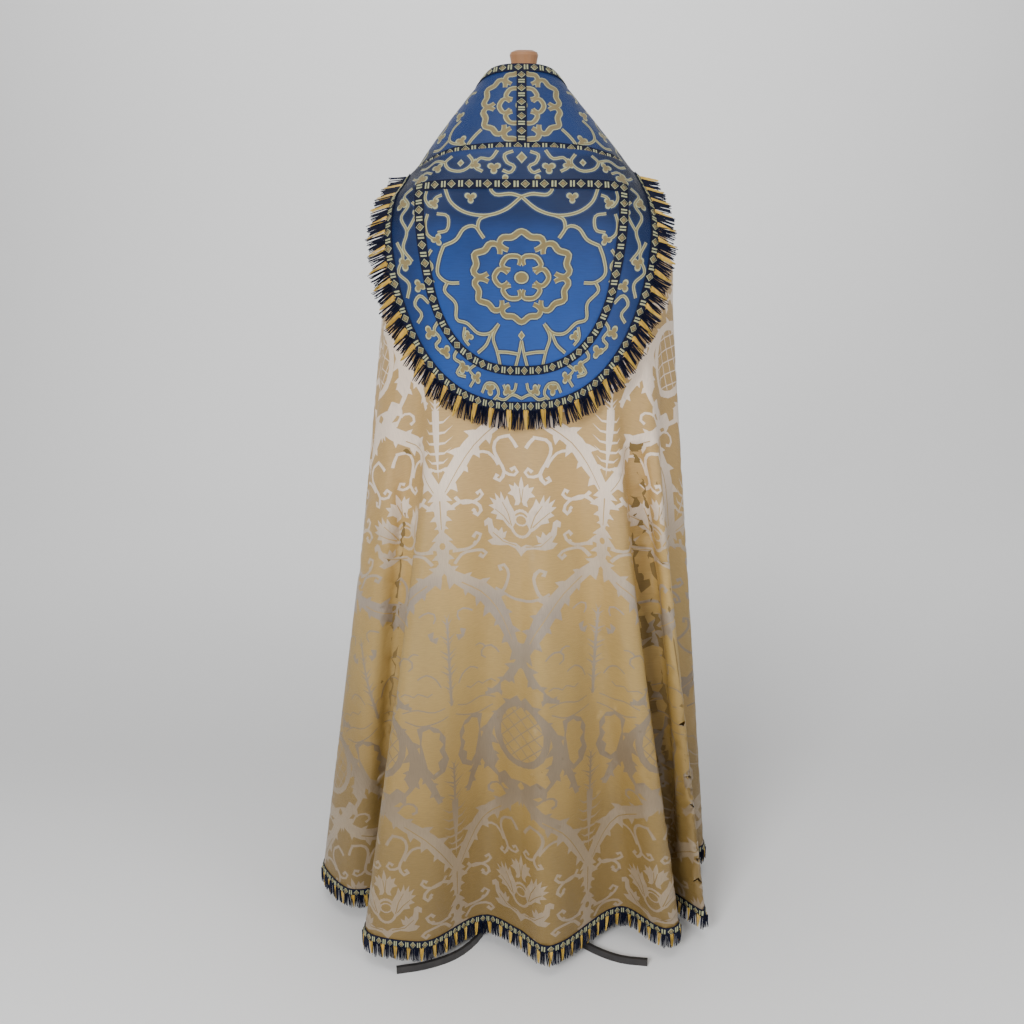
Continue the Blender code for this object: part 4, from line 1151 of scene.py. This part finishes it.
class COPE_OT_hood(Operator):
    """Shield hood with its rose and straps"""

    bl_idname = "cope.hood"
    bl_label = "Hood"

    def execute(self, context):
        edge = evenly(hood_outline(), 0.008) * 1000
        region = np.vstack([(0, HOOD_TOP * 1000), edge, (0, edge[-1][1])])
        parts = rose(0, 355, 75, 65)
        for half, line in HOOD_STRAPS:
            parts += strap(line, half)
        for leaf in HOOD_TREFOILS:
            parts += trefoil(*leaf)
        for x, y, r in HOOD_LOZENGES:
            parts += lozenge(x, y, r)
        flat, faces, ranks = draw_flat(region, parts, (10.0, 10.0))
        flat, faces, ranks = mirrored(flat, faces, ranks)
        flat, faces, ranks = merged(flat / 1000, faces, ranks, 1e-6)
        hood = hang_piece("hood_silk", flat, faces, ranks,
                          [finish(n) for n in ("blue", "shadow", "cream", "gold")],
                          hood_surface, hood_lift(flat) + CLOTH)
        thicken(hood, CLOTH)
        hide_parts("hood")
        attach(hood, "root")
        return {"FINISHED"}


def arrays_of(bm):
    """Points, faces and material numbers of a mesh in the making, which is freed."""
    bm.verts.index_update()
    verts = np.array([v.co[:] for v in bm.verts])
    faces = [[v.index for v in f.verts] for f in bm.faces]
    marks = [f.material_index for f in bm.faces]
    bm.free()
    return verts, faces, marks


def raised_mark(bm, x, half_x, half_y, level, steps, top, turn=0.0):
    """A four cornered thread mark, inset and raised step by step: inset, rise, material."""
    made = bmesh.ops.create_circle(bm, cap_ends=True, segments=4, radius=1.0)["verts"]
    bmesh.ops.rotate(bm, verts=made, matrix=Matrix.Rotation(turn, 3, "Z"))
    bmesh.ops.scale(bm, verts=made, vec=(half_x, half_y, 1))
    bmesh.ops.translate(bm, verts=made, vec=(x, 0, level))
    face = made[0].link_faces[0]
    face.normal_update()
    if face.normal.z < 0:
        bmesh.ops.reverse_faces(bm, faces=[face])
    for inset, rise, material in steps:
        ring = bmesh.ops.inset_individual(bm, faces=[face], thickness=inset, depth=rise)["faces"]
        for side in ring:
            side.material_index = material
    face.material_index = top


def braid_cell(cell, width, level, relief):
    """One diamond and its pair of bars."""
    bm = bmesh.new()
    thin = width * 0.035
    raised_mark(bm, cell * 0.30, cell * 0.245, width * 0.43, level,
                ((thin, relief, 1), (thin * 1.7, 0.0, 1), (thin, -relief * 0.7, 0), (thin * 1.2, 0.0, 0),
                 (thin, relief * 0.6, 2)), 2)
    for x in (0.695, 0.865):
        raised_mark(bm, cell * x, cell * 0.070, width * 0.46, level,
                    ((thin, relief, 1), (thin, relief * 0.2, 1)), 1, math.pi / 4)
    return arrays_of(bm)


def straight_braid(length, width, cell, thick, relief):
    """A braid along X, its middle on the X axis: a closed band with its marks on it."""
    count = max(1, round(length / cell))
    cell = length / count
    bm = bmesh.new()
    bmesh.ops.create_grid(bm, x_segments=count * 4, y_segments=2, size=0.5)
    bmesh.ops.scale(bm, verts=bm.verts, vec=(length, width, 1))
    bmesh.ops.translate(bm, verts=bm.verts, vec=(length / 2, 0, 0))
    grown = bmesh.ops.extrude_face_region(bm, geom=bm.faces[:], use_keep_orig=True)["geom"]
    top = [v for v in grown if isinstance(v, bmesh.types.BMVert)]
    bmesh.ops.translate(bm, verts=top, vec=(0, 0, thick))
    bmesh.ops.recalc_face_normals(bm, faces=bm.faces)
    verts, faces, marks = arrays_of(bm)
    cell_verts, cell_faces, cell_marks = braid_cell(cell, width, thick, relief)
    blocks, start = [verts], len(verts)
    for k in range(count):
        blocks.append(cell_verts + (k * cell, 0, 0))
        faces += [[i + start for i in face] for face in cell_faces]
        marks += cell_marks
        start += len(cell_verts)
    return np.vstack(blocks), faces, marks


def bend(points, path, surface, lift):
    """Straight points (along, across, up) laid along a flat path and hung; and whether that mirrors them."""
    run = run_along(path)

    def on_path(at):
        return np.stack([np.interp(at, run, c) for c in path.T], axis=1)

    along = on_path((points[:, 0] + 0.002).clip(None, run[-1])) - on_path((points[:, 0] - 0.002).clip(0))
    along /= np.linalg.norm(along, axis=1)[:, None]
    side = np.column_stack([-along[:, 1], along[:, 0]])
    flat = on_path(points[:, 0]) + side * points[:, 1:2]
    place, out = hang(flat, surface)
    middle = len(flat) // 2
    ahead, _ = hang(flat[middle:middle + 1] + along[middle] * 0.002, surface)
    aside, _ = hang(flat[middle:middle + 1] + side[middle] * 0.002, surface)
    turn = np.cross(ahead[0] - place[middle], aside[0] - place[middle]) @ out[middle]
    return place + out * (lift(flat) + points[:, 2])[:, None], turn < 0, flat


def add_braid(name, paths, surface, lift, sizes, width=BRAID):
    """One woven braid of one or more stretches."""
    blocks, faces, marks, cuts, start = [], [], [], [], 0
    for path in paths:
        length = run_along(path)[-1]
        points, own, own_marks = straight_braid(length, width, sizes.cell, BAND, sizes.relief)
        place, mirrored_path, flat = bend(points, path, surface, lift)
        if mirrored_path:
            own = [face[::-1] for face in own]
        blocks.append(place)
        cuts.append(points[:, :2])
        faces += [[i + start for i in face] for face in own]
        marks += own_marks
        start += len(place)
    obj = new_piece(name + "_weave", np.vstack(blocks), faces, [finish(n) for n in ("navy", "cream", "gold")],
                    marks, np.vstack(cuts), smooth=False)
    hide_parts(name)
    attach(obj, "root")
    return obj


def on_cloth(flat):
    return np.full(len(flat), CLOTH + GAP)


def on_band(flat):
    return np.full(len(flat), CLOTH + 2 * GAP + BAND)


def on_hood(flat):
    return hood_lift(flat) + CLOTH + GAP


def front_end():
    """How far along the straight edge the hem header begins."""
    return NECK_HALF + float(folded.length(np.ones(1))[0]) - HEM_HEADER - GAP


class COPE_OT_braids(Operator):
    """Diamond braids on the orphreys, in three stretches"""

    bl_idname = "cope.braids"
    bl_label = "Orphrey Braids"

    def execute(self, context):
        sizes = context.scene.cope_sizes
        end = front_end()
        outer = np.array([(-end, BRAID / 2), (end, BRAID / 2)])
        inner_y = ORPHREY_WIDTH - BRAID / 2
        inner = np.array([(-end + HEM_SLANT, inner_y), (end - HEM_SLANT, inner_y)])
        middle = np.array([(0, BRAID + GAP), (0, ORPHREY_WIDTH - BRAID - GAP)])
        for name, path in (("edge_braid", outer), ("orphrey_braid", inner), ("centre_back_braid", middle)):
            add_braid(name, [evenly(path, 0.01)], cope_surface, on_band, sizes)
        return {"FINISHED"}


def strand(cuts):
    """A thin three sided thread along Z, from 0 to 1, with rings to bend it at."""
    bm = bmesh.new()
    bmesh.ops.create_cone(bm, cap_ends=True, segments=3, radius1=1.0, radius2=0.55, depth=1.0)
    bmesh.ops.translate(bm, verts=bm.verts, vec=(0, 0, 0.5))
    tall = [e for e in bm.edges if abs(e.verts[0].co.z - e.verts[1].co.z) > 0.5]
    bmesh.ops.subdivide_edges(bm, edges=tall, cuts=cuts)
    return arrays_of(bm)


def tuft(rng, width, length, strands, spread, thick, twist):
    """One bunch of threads: points (along, out, down) and faces."""
    points, one, _ = strand(3)
    down = points[:, 2]
    blocks, faces = [], []
    for k in range(strands):
        share = ((k + 0.5) / strands * 2 - 1) * 0.92
        layer = rng.uniform(-1, 1) * 0.8
        turn = twist * down * math.tau
        wide = width / 2 * (1 + spread * down)
        bow = np.sin(down * math.pi) * width * rng.uniform(-0.07, 0.07)
        stray = rng.normal(0, spread * 0.30) * width * down
        x = share * np.cos(turn) * wide + stray + bow + points[:, 0] * thick
        y = (layer + share * np.sin(turn) * 0.6) * wide * 0.42 + points[:, 1] * thick
        blocks.append(np.column_stack([x, y, down * length * rng.uniform(0.90, 1.03)]))
        faces += [[i + k * len(points) for i in face] for face in one]
    return np.vstack(blocks), faces, []


def add_tufts(roots, along, down, out, repeat, length, rng, strands):
    """Gold and navy tufts in turn, on the places of an edge that lie a step apart."""
    run = run_along(roots)
    count = max(1, round(run[-1] / repeat))
    kinds = {
        1: [tuft(rng, repeat * 0.34, length, strands, 0.12, repeat * 0.034, 0.22) for _ in range(5)],
        0: [tuft(rng, repeat * 0.70, length * 0.98, strands + 9, 0.34, repeat * 0.046, 0.0) for _ in range(5)],
    }
    blocks, faces, marks, start = [], [], [], 0
    for k in range(count):
        for kind, at in ((1, (k + 0.24) / count), (0, (k + 0.74) / count)):
            place, a, d, o = (np.array([np.interp(at * run[-1], run, c) for c in table.T])
                              for table in (roots, along, down, out))
            points, own, _ = kinds[kind][rng.integers(5)]
            lean = rng.normal(0, 0.05)
            tall = rng.uniform(0.95, 1.04)
            local = points * (1, 1, tall)
            world = (place + local[:, :1] * a + local[:, 1:2] * o
                     + local[:, 2:] * (d + a * lean))
            blocks.append(world)
            faces += [[i + start for i in face] for face in own]
            marks += [kind] * len(own)
            start += len(points)
    return np.vstack(blocks), faces, marks


def edge_frame(flat, surface, lift, towards):
    """Roots and directions of a fringe on a flat path."""
    place, out = hang(flat, surface)
    place = place + out * lift(flat)[:, None]
    down = towards(place)
    along = np.gradient(place, axis=0)
    along -= (along * down).sum(axis=1)[:, None] * down
    along /= np.linalg.norm(along, axis=1)[:, None]
    across = np.cross(along, down)
    across *= np.sign((across * out).sum(axis=1))[:, None]
    return place - down * 0.002, along, down, across


def add_fringe(name, path, surface, lift, towards, repeat, length, rng, strands, header, sizes):
    """A braid header and the tufts that hang from its outer edge, as one piece."""
    frame_rows = edge_frame(path, surface, lambda f: lift(f) + BAND / 2, towards)
    tufts, faces, marks = add_tufts(*frame_rows, repeat, length, rng, strands)
    points, own, own_marks = straight_braid(run_along(header)[-1], BRAID, sizes.cell, BAND, sizes.relief)
    place, mirrored_path, _ = bend(points, header, surface, lift)
    if mirrored_path:
        own = [face[::-1] for face in own]
    start = len(tufts)
    faces += [[i + start for i in face] for face in own]
    marks = [3 + m for m in marks] + own_marks
    materials = [finish(n) for n in ("navy", "cream", "gold", "tuft_navy", "tuft_gold")]
    cut = np.vstack([tufts[:, [0, 2]], points[:, :2]])
    obj = new_piece(name + "_threads", np.vstack([tufts, place]), faces, materials, marks, cut, smooth=False)
    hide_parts(name)
    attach(obj, "root")
    return obj


def straight_down(places):
    return np.tile((0.0, 0.0, -1.0), (len(places), 1))


def away_from_hood(places):
    """The way that the hood's tufts hang: away from its middle, and drooping."""
    away = (places - HOOD_EYE) * (1, 0.25, 1)
    away /= np.linalg.norm(away, axis=1)[:, None]
    away[:, 2] -= HOOD_DROOP
    return away / np.linalg.norm(away, axis=1)[:, None]


def whole_outline(inset):
    """The hood's edge from one top corner round to the other, in the flat."""
    half = hood_outline(inset)
    return evenly(np.vstack([half, half[-2::-1] * (-1, 1)]), 0.004)


class COPE_OT_hood_trims(Operator):
    """Inner braid of the hood, and its fringe with the braid that heads it"""

    bl_idname = "cope.hood_trims"
    bl_label = "Hood Trims"

    def execute(self, context):
        sizes = context.scene.cope_sizes
        rng = np.random.default_rng(sizes.seed)
        inner = whole_outline(HOOD_INNER + BRAID / 2)
        inner = evenly(inner[inner[:, 1] > HOOD_TOP + HOOD_TOP_INNER], 0.004)
        half = float(inner[0, 0]) - BRAID / 2 - GAP
        level = HOOD_TOP + HOOD_TOP_INNER + BRAID / 2
        top = evenly(np.array([(half, level), (-half, level)]), 0.006)
        add_braid("hood_inner_braid", [inner, top], hood_surface, on_hood, sizes)
        add_fringe("hood_fringe", whole_outline(0.0), hood_surface, on_hood, away_from_hood,
                   sizes.hood_repeat, sizes.hood_tuft, rng, 11, whole_outline(BRAID / 2), sizes)
        return {"FINISHED"}


class COPE_OT_hem_fringe(Operator):
    """Braid and fringe along the whole hem"""

    bl_idname = "cope.hem_fringe"
    bl_label = "Hem Fringe"

    def execute(self, context):
        sizes = context.scene.cope_sizes
        rng = np.random.default_rng(sizes.seed + 1)
        ray = np.linspace(-1, 1, 1401)
        reach = folded.length(ray)
        add_fringe("hem_fringe", to_flat(ray, reach), cope_surface, on_cloth, straight_down,
                   sizes.hem_repeat, sizes.hem_tuft, rng, 8, to_flat(ray, reach - HEM_HEADER / 2), sizes)
        return {"FINISHED"}


class COPE_OT_form(Operator):
    """Finishes of the dress form, the stand and the morse"""

    bl_idname = "cope.form"
    bl_label = "Form and Stand"

    def execute(self, context):
        for name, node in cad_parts.items():
            kind = {"form_torso": "linen", "form_knob": "wood", "morse": "morse"}.get(name)
            if kind is None and name.startswith("stand_"):
                kind = "iron"
            if kind:
                node.data.materials.clear()
                node.data.materials.append(finish(kind))
        return {"FINISHED"}


def add_light(name, place, aim, size, power, tint=(1, 1, 1)):
    light = bpy.data.lights.new(name, "AREA")
    light.shape = "RECTANGLE"
    light.size, light.size_y = size
    light.energy = power
    light.color = tint
    obj = bpy.data.objects.new(name, light)
    bpy.context.scene.collection.objects.link(obj)
    obj.location = place
    obj.rotation_euler = (Vector(aim) - Vector(place)).to_track_quat("-Z", "Y").to_euler()
    return obj


class COPE_OT_stage(Operator):
    """Pale studio, lights and camera"""

    bl_idname = "cope.stage"
    bl_label = "Studio"

    def execute(self, context):
        scene = context.scene
        turn = np.linspace(0, math.pi / 2, 25)
        curve = [(-7.0, 0.0), (2.2, 0.0)]
        curve += [(2.2 + 1.6 * math.sin(a), 1.6 - 1.6 * math.cos(a)) for a in turn[1:]] + [(3.8, 7.0)]
        bm = bmesh.new()
        verts = [bm.verts.new((-9, y, z)) for y, z in curve]
        edges = [bm.edges.new(pair) for pair in zip(verts, verts[1:])]
        swept = bmesh.ops.extrude_edge_only(bm, edges=edges)["geom"]
        bmesh.ops.translate(bm, verts=[v for v in swept if isinstance(v, bmesh.types.BMVert)], vec=(18, 0, 0))
        bmesh.ops.recalc_face_normals(bm, faces=bm.faces)
        verts, faces, _ = arrays_of(bm)
        mat, tree, shader = node_material("studio_paper", tuple(scene.cope_colours.studio), 0.9)
        place = tree.nodes.new("ShaderNodeTexCoord")
        parts = tree.nodes.new("ShaderNodeSeparateXYZ")
        tree.links.new(place.outputs["Object"], parts.inputs["Vector"])
        # Painted light: the floor paper is painted up to 1.3 times lighter toward the front.
        near = tree.nodes.new("ShaderNodeMapRange")
        near.inputs["From Min"].default_value = 0.45
        near.inputs["From Max"].default_value = -0.60
        tree.links.new(parts.outputs["Y"], near.inputs["Value"])
        paper = tuple(scene.cope_colours.studio)
        tree.links.new(blend_colours(tree, near.outputs["Result"], paper, tone_and_shade(paper, 1.30)),
                       shader.inputs["Base Color"])
        bump(tree, shader, ((cloud(tree, 40.0, 4.0), 0.05),))
        new_piece("studio_sweep", verts, faces, [mat])
        add_light("key", (-1.3, -3.2, 2.3), (0, 0, 0.95), (1.2, 1.1), 114)
        add_light("fill", (2.8, -2.4, 1.5), (0, 0, 0.8), (1.2, 1.6), 34)
        add_light("top", (0, 0.2, 4.2), (0, 0.3, 0), (3.0, 3.0), 60)
        add_light("backdrop", (0, 1.4, 2.6), (0, 3.8, 1.6), (5.0, 1.5), 90)
        world = bpy.data.worlds.new("studio")
        world.use_nodes = True
        world.node_tree.nodes["Background"].inputs["Color"].default_value = (1, 1, 1, 1)
        world.node_tree.nodes["Background"].inputs["Strength"].default_value = 0.30
        scene.world = world
        lens = bpy.data.cameras.new("camera")
        lens.sensor_width = 36.0
        lens.lens = 36.0 * 1142 / 1024
        lens.shift_x = -0.00928
        eye = bpy.data.objects.new("camera", lens)
        eye.location = (0, -2.0, 1.45)
        eye.rotation_euler = (math.radians(90 - 19), 0, 0)
        scene.collection.objects.link(eye)
        scene.camera = eye
        return {"FINISHED"}


STEPS = ("body", "orphreys", "braids", "hood", "hood_trims", "hem_fringe", "form", "stage")


class COPE_PT_panel(Panel):
    """The cope's steps, sizes and colours"""

    bl_idname = "COPE_PT_panel"
    bl_label = "Cope Vestment"
    bl_space_type = "VIEW_3D"
    bl_region_type = "UI"
    bl_category = "Cope"

    def draw(self, context):
        for step in STEPS:
            self.layout.operator("cope." + step)
        for group in (context.scene.cope_sizes, context.scene.cope_colours):
            box = self.layout.box()
            for name in group.bl_rna.properties.keys():
                if name not in {"rna_type", "name"}:
                    box.prop(group, name)


CLASSES = (
    CopeSizes, CopeColours, COPE_OT_body, COPE_OT_orphreys, COPE_OT_braids, COPE_OT_hood,
    COPE_OT_hood_trims, COPE_OT_hem_fringe, COPE_OT_form, COPE_OT_stage, COPE_PT_panel,
)


def register():
    for cls in CLASSES:
        bpy.utils.register_class(cls)
    bpy.types.Scene.cope_sizes = PointerProperty(type=CopeSizes)
    bpy.types.Scene.cope_colours = PointerProperty(type=CopeColours)


def unregister():
    del bpy.types.Scene.cope_colours
    del bpy.types.Scene.cope_sizes
    for cls in reversed(CLASSES):
        bpy.utils.unregister_class(cls)


def declare_sheets():
    """Works out the cut's hem edge and where the front's hem header begins, and keeps neither."""
    ray = np.linspace(-1, 1, 2001)
    edge = to_flat(ray, folded.length(ray))
    end = front_end()


def main():
    register()
    for step in STEPS:
        if getattr(bpy.ops.cope, step)() != {"FINISHED"}:
            raise RuntimeError("The step " + step + " didn't finish")
    declare_sheets()
    bpy.context.view_layer.update()


if __name__ == "__main__":
    main()
